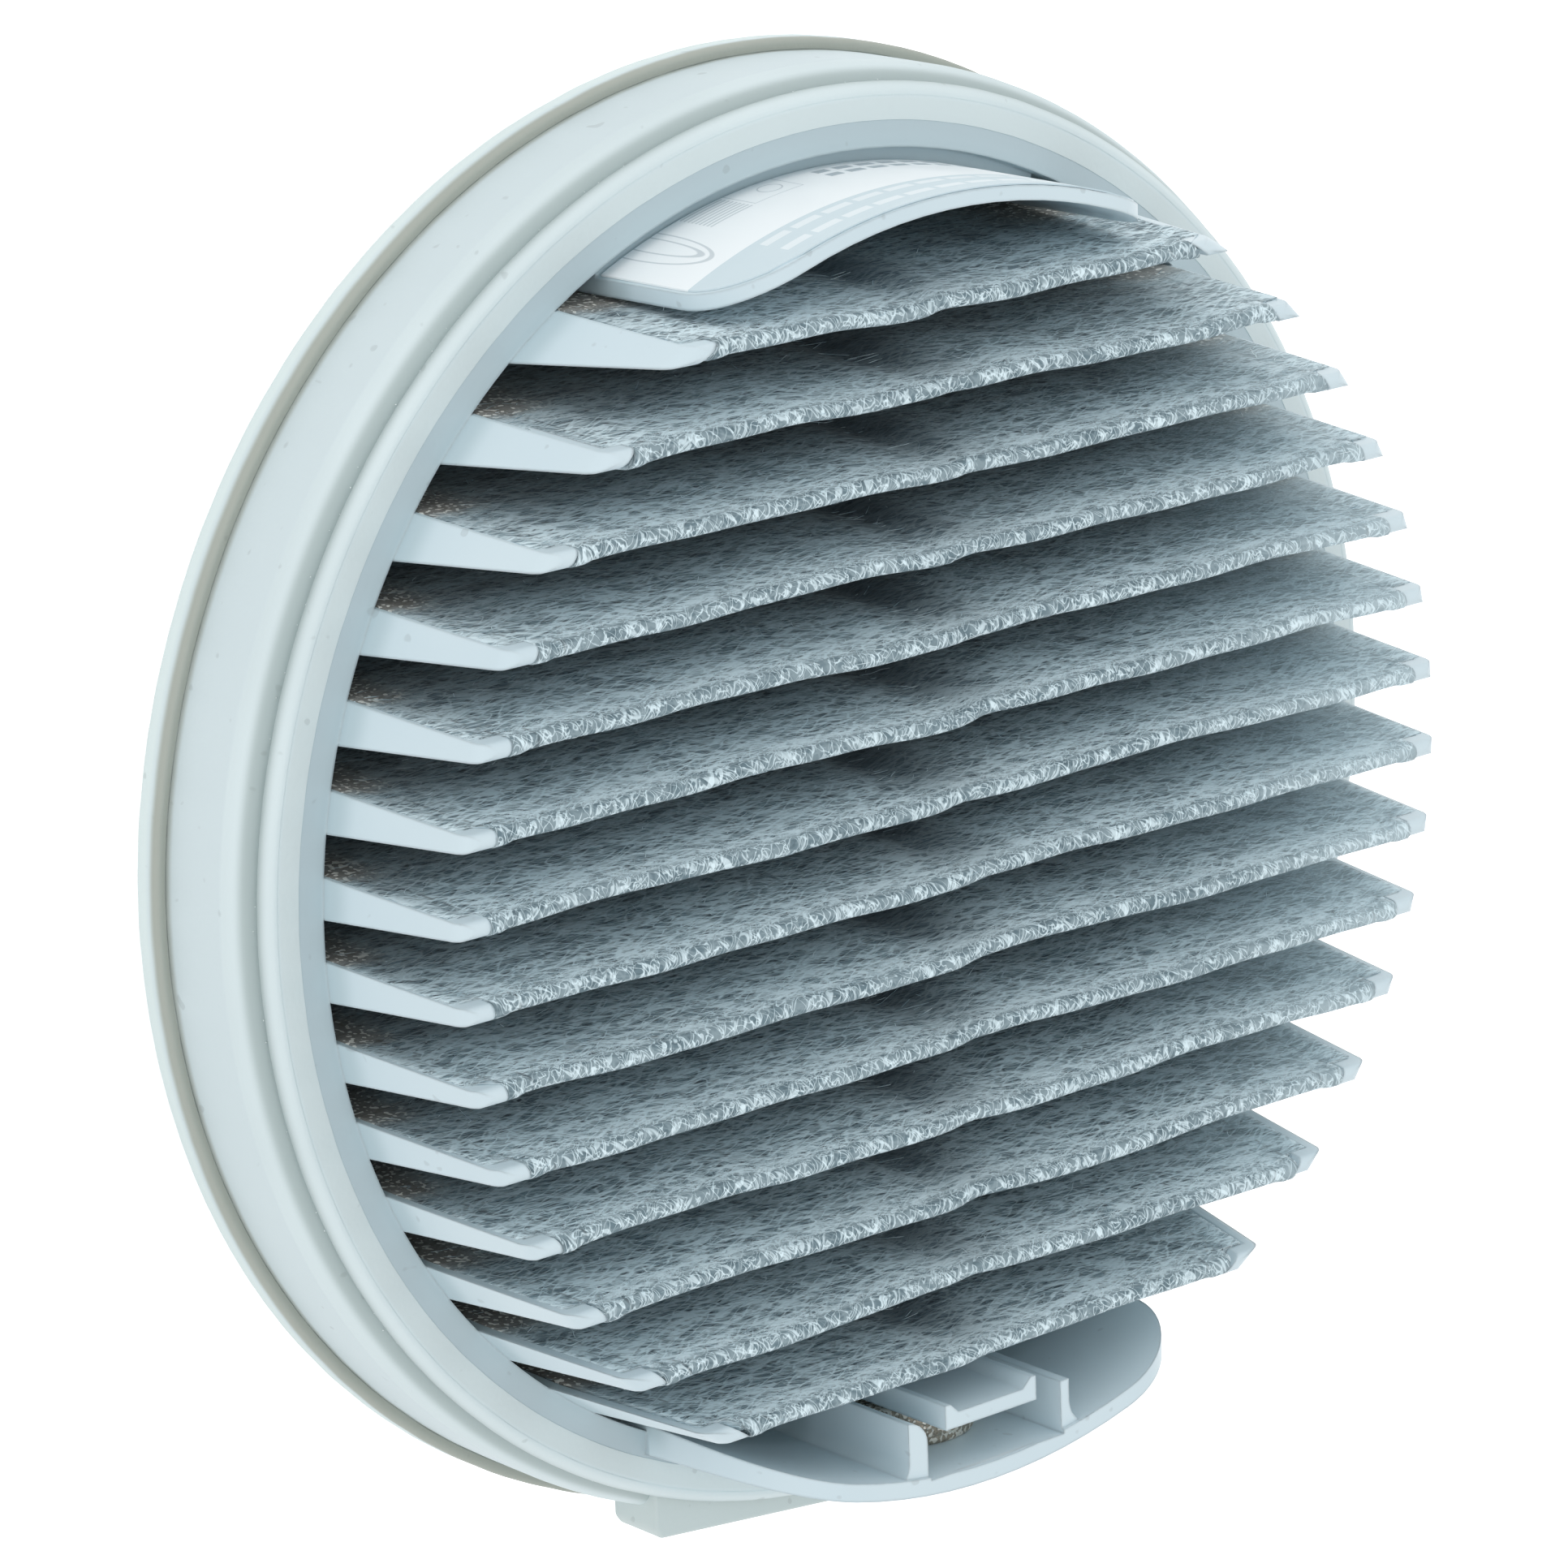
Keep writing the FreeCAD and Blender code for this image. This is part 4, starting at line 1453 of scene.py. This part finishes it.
@dataclass(frozen=True)
class FibreKind:
    """One sort of loose fibre: how many, how long, and how they lie."""

    name: str
    per_square_mm: float
    length: float
    points: int
    curl: float
    curl_scale: float
    lift: float
    along_pleat: float
    fold_power: float


class Nap(Enum):
    """The two sorts of loose fibre on a pleat."""

    CURLS = FibreKind("curls", 1.9, 3.4, 8, 1.3, 420.0, 0.25, 0.5, 1.0)
    STRANDS = FibreKind("strands", 0.24, 7.0, 5, 1.4, 240.0, 0.16, 1.2, 0.0)


@dataclass
class FibreNap(Strewing):
    """Loose fibres over the front of one pleat: curved strands, strewn on the sheet and laid along it."""

    radius: float = 0.034
    curl_depth: float = 3.8
    fold_top: float = 0.4
    ridge: float = 1.2
    ridge_share: float = 0.3
    far_side_share: float = 0.35
    foot: float = 7.0
    finish: Finish = field(default_factory=LooseFibre)

    name = "fibre_nap"
    sockets = {
        "Density": "Float", "Length": "Float", "Points": "Int", "Curl": "Float", "Curl Scale": "Float",
        "Lift": "Float", "Along": "Float", "Radius": "Float", "Seed": "Int",
    }
    strand_sides = 3
    size_range = (0.45, 1.35)
    size_seed_shift = 5.0
    number_range = (0.0, 400.0)
    number_seed_shift = 9.0
    rise_scale = 500.0
    rise_start = 0.3
    least_rise = 0.02
    first_seed = 3
    pleat_seed_step = 40
    kind_seed_step = 7

    def build(self, desk: Desk, given: dict[str, Socket]) -> Socket:
        """Strews the strands, curls them, lays them on the sheet and makes them thick.

        Args:
            desk: The tree's nodes.
            given: The tree's inputs by name.

        Returns:
            The strands' mesh.
        """
        curled, own = self.curled(desk, given, self.strewn(desk, given))
        place = desk.add("GeometryNodeInputPosition").outputs[0]
        nearest = desk.add("GeometryNodeProximity", {0: given["Geometry"]}, target_element="FACES").outputs[0]
        normal = desk.add("GeometryNodeInputNormal").outputs[0]
        sampled = desk.add("GeometryNodeSampleNearestSurface", {0: given["Geometry"]},
                           data_type="FLOAT_VECTOR")
        desk.feed(sampled.inputs["Value"], normal)
        rise = desk.math("SUBTRACT", desk.own_noise(place, own, self.rise_scale).outputs[0], self.rise_start)
        rise = desk.chain("MULTIPLY", desk.math("MAXIMUM", rise, self.least_rise), 2.0, given["Lift"])
        outward = desk.times(sampled.outputs[0], rise)
        laid = desk.add("GeometryNodeSetPosition", {
            0: curled, "Position": desk.vector("ADD", nearest, outward).outputs[0]}).outputs[0]
        ring = desk.add("GeometryNodeCurvePrimitiveCircle", {
            "Resolution": self.strand_sides, "Radius": given["Radius"]})
        tube = desk.add("GeometryNodeCurveToMesh", {
            "Curve": laid, "Profile Curve": ring.outputs[0], "Fill Caps": True})
        return tube.outputs[0]

    def strewn(self, desk: Desk, given: dict[str, Socket]) -> Socket:
        """Strews straight strands of uneven lengths and directions.

        Args:
            desk: The tree's nodes.
            given: The tree's inputs by name.

        Returns:
            The strands as instances.
        """
        share = desk.add("GeometryNodeInputNamedAttribute", {"Name": "nap"}).outputs[0]
        places = desk.add("GeometryNodeDistributePointsOnFaces", {
            "Mesh": given["Geometry"],
            "Density": desk.math("MULTIPLY", given["Density"], share),
            "Seed": given["Seed"],
        })
        half = desk.math("DIVIDE", given["Length"], 2.0)
        line = desk.add("GeometryNodeCurvePrimitiveLine", {
            "Start": desk.combined(desk.math("MULTIPLY", half, -1.0)), "End": desk.combined(half)})
        strand = desk.add("GeometryNodeResampleCurve", {"Curve": line.outputs[0], "Count": given["Points"]})
        wild = desk.random_vector((-1, -1, -1), (1, 1, 1), given["Seed"])
        way = desk.vector("ADD", wild, desk.combined(given["Along"])).outputs[0]
        turn = desk.add("FunctionNodeAlignRotationToVector", {"Vector": way}, axis="X").outputs[0]
        size = desk.random_number(*self.size_range, desk.math("ADD", given["Seed"], self.size_seed_shift))
        placed = desk.add("GeometryNodeInstanceOnPoints", {
            "Points": places.outputs[0], "Instance": strand.outputs[0], "Rotation": turn, "Scale": size})
        return placed.outputs[0]

    def curled(self, desk: Desk, given: dict[str, Socket], strands: Socket) -> tuple[Socket, Socket]:
        """Curls each strand in its own way.

        Args:
            desk: The tree's nodes.
            given: The tree's inputs by name.
            strands: The straight strands.

        Returns:
            The curled strands, and the number that each of them has for its own.
        """
        seed = desk.math("ADD", given["Seed"], self.number_seed_shift)
        number = desk.random_number(*self.number_range, seed)
        numbered = desk.add("GeometryNodeStoreNamedAttribute", {
            "Geometry": strands, "Name": "strand", "Value": number}, data_type="FLOAT", domain="INSTANCE")
        loose = desk.add("GeometryNodeRealizeInstances", {0: numbered.outputs[0]}).outputs[0]
        own = desk.add("GeometryNodeInputNamedAttribute", {"Name": "strand"}).outputs[0]
        place = desk.add("GeometryNodeInputPosition").outputs[0]
        sway = desk.own_noise(place, own, given["Curl Scale"]).outputs["Color"]
        sway = desk.vector("SUBTRACT", sway, (0.5, 0.5, 0.5)).outputs[0]
        sway = desk.times(sway, desk.math("MULTIPLY", given["Curl"], 2.0))
        return desk.add("GeometryNodeSetPosition", {0: loose, "Offset": sway}).outputs[0], own

    def grown(self, front: np.ndarray, share: np.ndarray, kind: FibreKind, pleat: int, seed: int,
              ) -> bpy.types.Mesh:
        """Grows one sort of fibre on a part of the sheet.

        Args:
            front: The points of that part's front.
            share: How many of the fibres each row gets.
            kind: The sort of fibre.
            pleat: The pleat's number, from 0.
            seed: The seed of what is random.

        Returns:
            The fibres as a plain mesh.
        """
        rows, columns = front.shape[:2]
        base = new_piece(f"nap_base_{pleat + 1}_{kind.name}", front.reshape(-1, 3), grid_faces(rows, columns))
        store(base.data, "nap", np.repeat(share, columns))
        mesh = self.strew(base, {
            "Density": kind.per_square_mm / MM**2, "Length": kind.length * MM, "Points": kind.points,
            "Curl": kind.curl * MM, "Curl Scale": kind.curl_scale, "Lift": kind.lift * MM,
            "Along": kind.along_pleat, "Radius": self.radius * MM, "Seed": seed,
            "Material": self.finish.material(),
        }).data
        bpy.data.objects.remove(base)
        return mesh

    def on_pleat(self, front: np.ndarray, rest: RestSheet, pleat: int) -> bpy.types.Object:
        """Grows all loose fibres of one pleat, more of them near its fold.

        Args:
            front: The points of the sheet's front face.
            rest: The sheet before it is crumpled.
            pleat: The pleat's number, from 0.

        Returns:
            The fibres as one piece.
        """
        depth = rest.depth[:, 0]
        near = np.exp(-np.clip(depth - self.fold_top, 0, None) / self.curl_depth)
        near = near * np.where(depth < self.ridge, self.ridge_share, 1.0)
        rows = (rest.pleats == pleat) & (front[:, :, 2].mean(axis=1) > self.foot)
        side = np.where(rest.flanks[rows] >= 0, 1.0, self.far_side_share)
        meshes = []
        for number, nap in enumerate(Nap):
            share = near[rows] ** nap.value.fold_power * side
            seed = self.pleat_seed_step * pleat + self.kind_seed_step * number + self.first_seed
            meshes.append(self.grown(front[rows], share, nap.value, pleat, seed))
        return joined(f"media_fibres_{pleat + 1:02d}", meshes)


# The seals

@dataclass
class SealRing:
    """A soft seal that is turned round the filter's axis."""

    name: str
    corners: tuple[Triple, ...]
    waver: float = 0.012
    waves: tuple[int, ...] = (5, 11, 23, 47, 90)
    drift: float = 0.15
    segments: int = 480
    seed: int = 3

    def build(self) -> bpy.types.Object:
        """Turns the section, with the faint unevenness of a soft moulding.

        Returns:
            The seal.
        """
        section = rounded_outline(self.corners)
        turns = np.linspace(0, FULL_TURN, self.segments, endpoint=False)
        chance = np.random.default_rng(self.seed)
        uneven = np.zeros((len(section), self.segments))
        drift = self.drift * np.arange(len(section))[:, None]
        for waves in self.waves:
            shift = chance.uniform(0, FULL_TURN)
            uneven += self.waver * np.sin(waves * turns + shift + drift)
        radius = section[:, :1] - np.abs(uneven)
        points = np.stack([radius * np.cos(turns), radius * np.sin(turns),
                           np.repeat(section[:, 1:], self.segments, 1)], axis=2)
        ring, side = np.meshgrid(np.arange(len(section)), np.arange(self.segments), indexing="ij")
        above = (ring + 1) % len(section) * self.segments
        beside = (side + 1) % self.segments
        here = ring * self.segments
        faces = np.stack([here + side, here + beside, above + beside, above + side], axis=2).reshape(-1, 4)
        return new_piece(self.name, points.reshape(-1, 3), faces)


@dataclass
class CollarKey:
    """The locating key under the collar, with a flat front and soft edges."""

    left: float = -20.1
    right: float = 2.6
    low: float = 6.0
    high: float = 11.0
    root: float = 51.6
    flat: float = 54.2
    tilt: float = math.radians(5.9)
    bevel: float = 0.5
    bevel_height: float = 0.75
    soft_edge: float = 0.3
    edge_segments: int = 4

    def on_root(self, across: float) -> Pair:
        """A corner on the circle that the key stands on."""
        return across, -math.sqrt(self.root**2 - across**2)

    def on_flat(self, across: float, inset: float = 0.0) -> Pair:
        """A corner on the tilted flat."""
        return across, -(self.flat + across * math.sin(self.tilt)) / math.cos(self.tilt) + inset

    def build(self) -> bpy.types.Object:
        """Raises the key's outline and rounds all its edges.

        Returns:
            The key.
        """
        start = self.left + self.bevel
        beside_start = (self.left, self.on_flat(start, self.bevel_height)[1])
        outline = np.array([self.on_root(self.left), beside_start, self.on_flat(start),
                            self.on_flat(self.right), self.on_root(self.right)])
        count = len(outline)
        points = np.concatenate([
            np.column_stack([outline, np.full(count, up)]) for up in (self.low, self.high)])
        sides = [(index, (index + 1) % count, (index + 1) % count + count, index + count)
                 for index in range(count)]
        faces = [tuple(reversed(range(count))), tuple(range(count, 2 * count)), *sides]
        piece = new_piece("collar_key", points, faces)
        soft = piece.modifiers.new("soft_edges", "BEVEL")
        soft.width = self.soft_edge * MM
        soft.segments = self.edge_segments
        soft.limit_method = "NONE"
        soft.harden_normals = True
        return baked(piece)


@dataclass
class FlashNibs(Strewing):
    """Small nibs of flash along the collar's groove: small balls at uneven places along a circle."""

    radius: float = 52.55
    height: float = 10.75
    spread: float = 0.28
    size: float = 0.055
    count: int = 200
    seed: int = 11

    name = "flash_nibs"
    sockets = {
        "Radius": "Float", "Height": "Float", "Spread": "Float", "Size": "Float", "Count": "Int",
        "Seed": "Int",
    }
    circle_points = 256
    least_size = (0.4, 0.4, 0.4)
    largest_size = (1.7, 1.3, 1.2)
    size_seed_shift = 3.0

    def build(self, desk: Desk, given: dict[str, Socket]) -> Socket:
        """Moves points off a circle and sets a ball of uneven size on each.

        Args:
            desk: The tree's nodes.
            given: The tree's inputs by name.

        Returns:
            The balls as instances.
        """
        circle = desk.add("GeometryNodeCurvePrimitiveCircle", {
            "Resolution": self.circle_points, "Radius": given["Radius"]})
        places = desk.add("GeometryNodeCurveToPoints", {"Curve": circle.outputs[0], "Count": given["Count"]},
                          mode="COUNT").outputs[0]
        wild = desk.random_vector((-1, -1, -1), (1, 1, 1), given["Seed"])
        shift = desk.vector("ADD", desk.times(wild, given["Spread"]), desk.combined(z=given["Height"]))
        moved = desk.add("GeometryNodeSetPosition", {0: places, "Offset": shift.outputs[0]}).outputs[0]
        ball = desk.add("GeometryNodeMeshIcoSphere", {"Radius": given["Size"], "Subdivisions": 1}).outputs[0]
        seed = desk.math("ADD", given["Seed"], self.size_seed_shift)
        large = desk.random_vector(self.least_size, self.largest_size, seed)
        nibs = desk.add("GeometryNodeInstanceOnPoints", {"Points": moved, "Instance": ball, "Scale": large})
        return nibs.outputs[0]

    def made(self) -> bpy.types.Object:
        """Makes the nibs as one plain mesh, still without a material.

        Returns:
            The nibs.
        """
        start = new_piece("groove_nibs", np.zeros((1, 3)), [], smooth=False)
        piece = self.strew(start, {
            "Radius": self.radius * MM, "Height": self.height * MM, "Spread": self.spread * MM,
            "Size": self.size * MM, "Count": self.count, "Seed": self.seed, "Material": FLASH.material(),
        })
        piece.data.shade_smooth()
        piece.data.materials.clear()
        return piece


REAR_SEAL = SealRing("rear_seal_ring", (
    (50.30, 0.00, 0.10), (55.01, 0.00, 0.25), (55.01, 2.42, 0.55), (54.15, 2.30, 0.10),
    (54.05, 2.10, 0.05), (50.30, 2.10, 0.05),
))
COLLAR = SealRing("collar_ring", (
    (50.30, 1.90, 0.05), (54.11, 1.90, 0.05), (54.11, 8.42, 0.10), (53.98, 9.35, 0.55), (53.40, 10.15, 0.60),
    (52.50, 10.62, 0.12), (52.30, 10.76, 0.06), (52.80, 11.05, 0.15), (52.86, 11.60, 0.35),
    (52.30, 12.20, 0.45), (51.93, 12.24, 0.05), (51.84, 12.20, 0.05), (50.10, 12.27, 0.03),
    (50.10, 12.20, 0.02), (50.30, 12.10, 0.02),
), waver=0.008, seed=5)


# The label and the magnet

@dataclass
class TabLabel:
    """The thin film on the outside of the tab, lifted a little at its right end."""

    radius: float = 47.02
    thickness: float = 0.11
    half_width: float = 20.2
    foot_flare: float = 0.2
    foot: float = 11.4
    front: float = 26.0
    corner: float = 5.9
    lift: float = 0.35
    lift_reach: float = 2.2
    columns: int = 81
    rows: int = 25

    def build(self) -> bpy.types.Object:
        """Makes the film as a closed curved sheet.

        Returns:
            The film.
        """
        up = np.linspace(self.foot, self.front, self.rows)
        cut = np.clip(up - (self.front - self.corner), 0, None)
        half = self.half_width + self.foot_flare * (self.front - up) / (self.front - self.foot)
        half = half - self.corner + np.sqrt(np.clip(self.corner**2 - cut**2, 0, None))
        x = half[:, None] * np.linspace(-1, 1, self.columns)
        z = np.repeat(up[:, None], self.columns, 1)
        raised = self.lift * smooth_step((x - self.half_width + self.lift_reach) / self.lift_reach)
        layers = []
        for out in (self.thickness, 0.0):
            radius = self.radius + out + raised
            layers.append(np.stack([x, np.sqrt(radius**2 - x**2), z], axis=2).reshape(-1, 3))
        rims = [face[:, ::-1] for face in rim_faces(self.rows, self.columns)]
        faces = [grid_faces(self.rows, self.columns, 0, True),
                 grid_faces(self.rows, self.columns, self.rows * self.columns), *rims]
        piece = new_piece("label_film", np.concatenate(layers), np.concatenate(faces), smooth=False)
        flat = np.stack([self.radius * np.arcsin(x / self.radius), z], axis=2).reshape(-1, 2)
        lay_flat(piece.data, np.concatenate([flat, flat]))
        return piece


@dataclass
class DiscMagnet:
    """The disc magnet in its pocket, with rounded rims."""

    centre_x: float = 0.1
    floor: float = -47.45
    height: float = 16.2
    radius: float = 5.0
    thickness: float = 3.0
    rim: float = 0.35
    rim_steps: int = 5
    face_inset: float = 0.8
    sides: int = 96

    def section(self) -> list[Pair]:
        """Draws half the disc's section, from its lower face round the rims to its upper one.

        Returns:
            Radius and height above the pocket's floor for each point.
        """
        lower = [(self.radius - self.rim + self.rim * math.sin(turn), self.rim - self.rim * math.cos(turn))
                 for turn in np.linspace(0, math.pi / 2, self.rim_steps)]
        lower.insert(0, (self.radius - self.face_inset, 0.0))
        return lower + [(radius, self.thickness - up) for radius, up in reversed(lower)]

    def build(self) -> bpy.types.Object:
        """Turns the section round the disc's own axis, which lies along Y.

        Returns:
            The magnet.
        """
        section = self.section()
        angles = np.linspace(0, FULL_TURN, self.sides, endpoint=False)
        points = [(self.centre_x, self.floor, self.height)]
        for radius, up in section:
            points.extend((self.centre_x + radius * math.cos(angle), self.floor + up,
                           self.height + radius * math.sin(angle)) for angle in angles)
        points.append((self.centre_x, self.floor + self.thickness, self.height))
        faces = []
        for side in range(self.sides):
            following = (side + 1) % self.sides
            faces.append((0, 1 + side, 1 + following))
            for ring in range(len(section) - 1):
                low = 1 + ring * self.sides
                high = low + self.sides
                faces.append((low + side, high + side, high + following, low + following))
            last = 1 + (len(section) - 1) * self.sides
            faces.append((len(points) - 1, last + following, last + side))
        return new_piece("magnet_disc", np.array(points), faces)


# The studio

@dataclass(frozen=True)
class SoftBox:
    """A square lamp: where it stands, how wide it is and how strong."""

    name: str
    place: Triple
    width: float
    power: float


@dataclass
class Studio:
    """Floor, lamps, world and camera. Lamps, aim and camera are in metres."""

    floor_side: float = 4000.0
    floor_height: float = -0.05
    paper: float = 0.86
    paper_glow: float = 0.6
    world_level: float = 0.9
    aim: Triple = (0.0, 0.0, 0.012)
    boxes: tuple[SoftBox, ...] = (
        SoftBox("left_lamp", (-0.75, 0.10, 0.35), 0.7, 0.55),
        SoftBox("top_lamp", (0.05, 0.80, 0.40), 0.8, 0.80),
        SoftBox("front_lamp", (-0.30, 0.20, 0.90), 0.6, 0.20),
    )
    position: Triple = (-0.31068, 0.135304, 0.375738)
    looks_along: Triple = (0.61838, -0.26922, -0.73832)
    upwards: Triple = (0.20171, 0.96239, -0.18198)
    focal_length: float = 8366.7

    def floor(self) -> None:
        """A white floor that keeps a faint shadow."""
        half = self.floor_side / 2
        sides = ((-half, -half), (half, -half), (half, half), (-half, half))
        corners = np.array([(x, y, self.floor_height) for x, y in sides])
        piece = new_piece("floor", corners, [(0, 1, 2, 3)], smooth=False)
        material = bpy.data.materials.new("floor_paper")
        material.use_nodes = True
        desk = Desk(material.node_tree)
        shader = material.node_tree.nodes["Principled BSDF"]
        shader.inputs["Base Color"].default_value = (self.paper, self.paper, self.paper, 1)
        shader.inputs["Roughness"].default_value = 1.0
        shader.inputs["Specular IOR Level"].default_value = 0.0
        shader.inputs["Emission Color"].default_value = (1, 1, 1, 1)
        glow = desk.math("MULTIPLY", desk.seen_plainly(), self.paper_glow)
        desk.feed(shader.inputs["Emission Strength"], glow)
        piece.data.materials.append(material)

    def world(self) -> None:
        """An even pale room, white where the camera or a gloss sees it."""
        world = bpy.data.worlds.new("room")
        bpy.context.scene.world = world
        world.use_nodes = True
        desk = Desk(world.node_tree)
        background = world.node_tree.nodes["Background"]
        background.inputs["Color"].default_value = (1, 1, 1, 1)
        desk.feed(background.inputs["Strength"], desk.remap(desk.seen_plainly(), 0, 1, self.world_level, 1.0))

    def lamps(self) -> None:
        """The soft boxes, each turned to the filter."""
        for box in self.boxes:
            lamp = bpy.data.lights.new(box.name, "AREA")
            lamp.shape = "SQUARE"
            lamp.size = box.width
            lamp.energy = box.power
            holder = linked(box.name, lamp)
            holder.location = box.place
            to_filter = Vector(self.aim) - Vector(box.place)
            holder.rotation_euler = to_filter.to_track_quat("-Z", "Y").to_euler()

    def camera(self) -> None:
        """The camera at the photograph's place."""
        lens = bpy.data.cameras.new("camera")
        lens.sensor_width = 36.0
        lens.lens = self.focal_length / PHOTO_SIDE * lens.sensor_width
        lens.clip_start = 0.01
        lens.clip_end = 20.0
        back = -Vector(self.looks_along).normalized()
        right = Vector(self.upwards).cross(back).normalized()
        turn = Matrix((right, back.cross(right), back)).transposed()
        holder = linked("camera", lens)
        holder.matrix_world = Matrix.Translation(self.position) @ turn.to_4x4()
        bpy.context.scene.camera = holder

    def build(self) -> None:
        """Sets everything up."""
        self.floor()
        self.world()
        self.lamps()
        self.camera()
        bpy.context.scene.view_settings.view_transform = "Standard"


def dress_media() -> None:
    media = FoldedMedia()
    rest = media.rest()
    piece, front, area = media.build(rest)
    mount(piece, NonWoven(), "filter_media", "pleated_media")
    nap = FibreNap()
    for pleat in range(media.shape.count):
        fringe = nap.on_pleat(front, rest, pleat)
        mount(fringe, nap.finish, "filter_media")


def main() -> None:
    """Builds the filter's looks in order."""
    logging.basicConfig(level=logging.INFO, format="%(name)s %(message)s")
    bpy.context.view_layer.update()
    PLASTIC.put_on(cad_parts["filter_frame"])
    mount(REAR_SEAL.build(), SEAL, "seal_rubber", "rear_seal")
    mount(COLLAR.build(), SEAL, "seal_rubber", "collar_seal")
    mount(CollarKey().build(), KEY, "seal_rubber")
    mount(FlashNibs().made(), FLASH, "seal_rubber")
    dress_media()
    mount(TabLabel().build(), LabelFilm(), "label_film", "instruction_label")
    mount(DiscMagnet().build(), NickelPlate(), "magnet_nickel", "magnet")
    Studio().build()


if __name__ == "__main__":
    main()
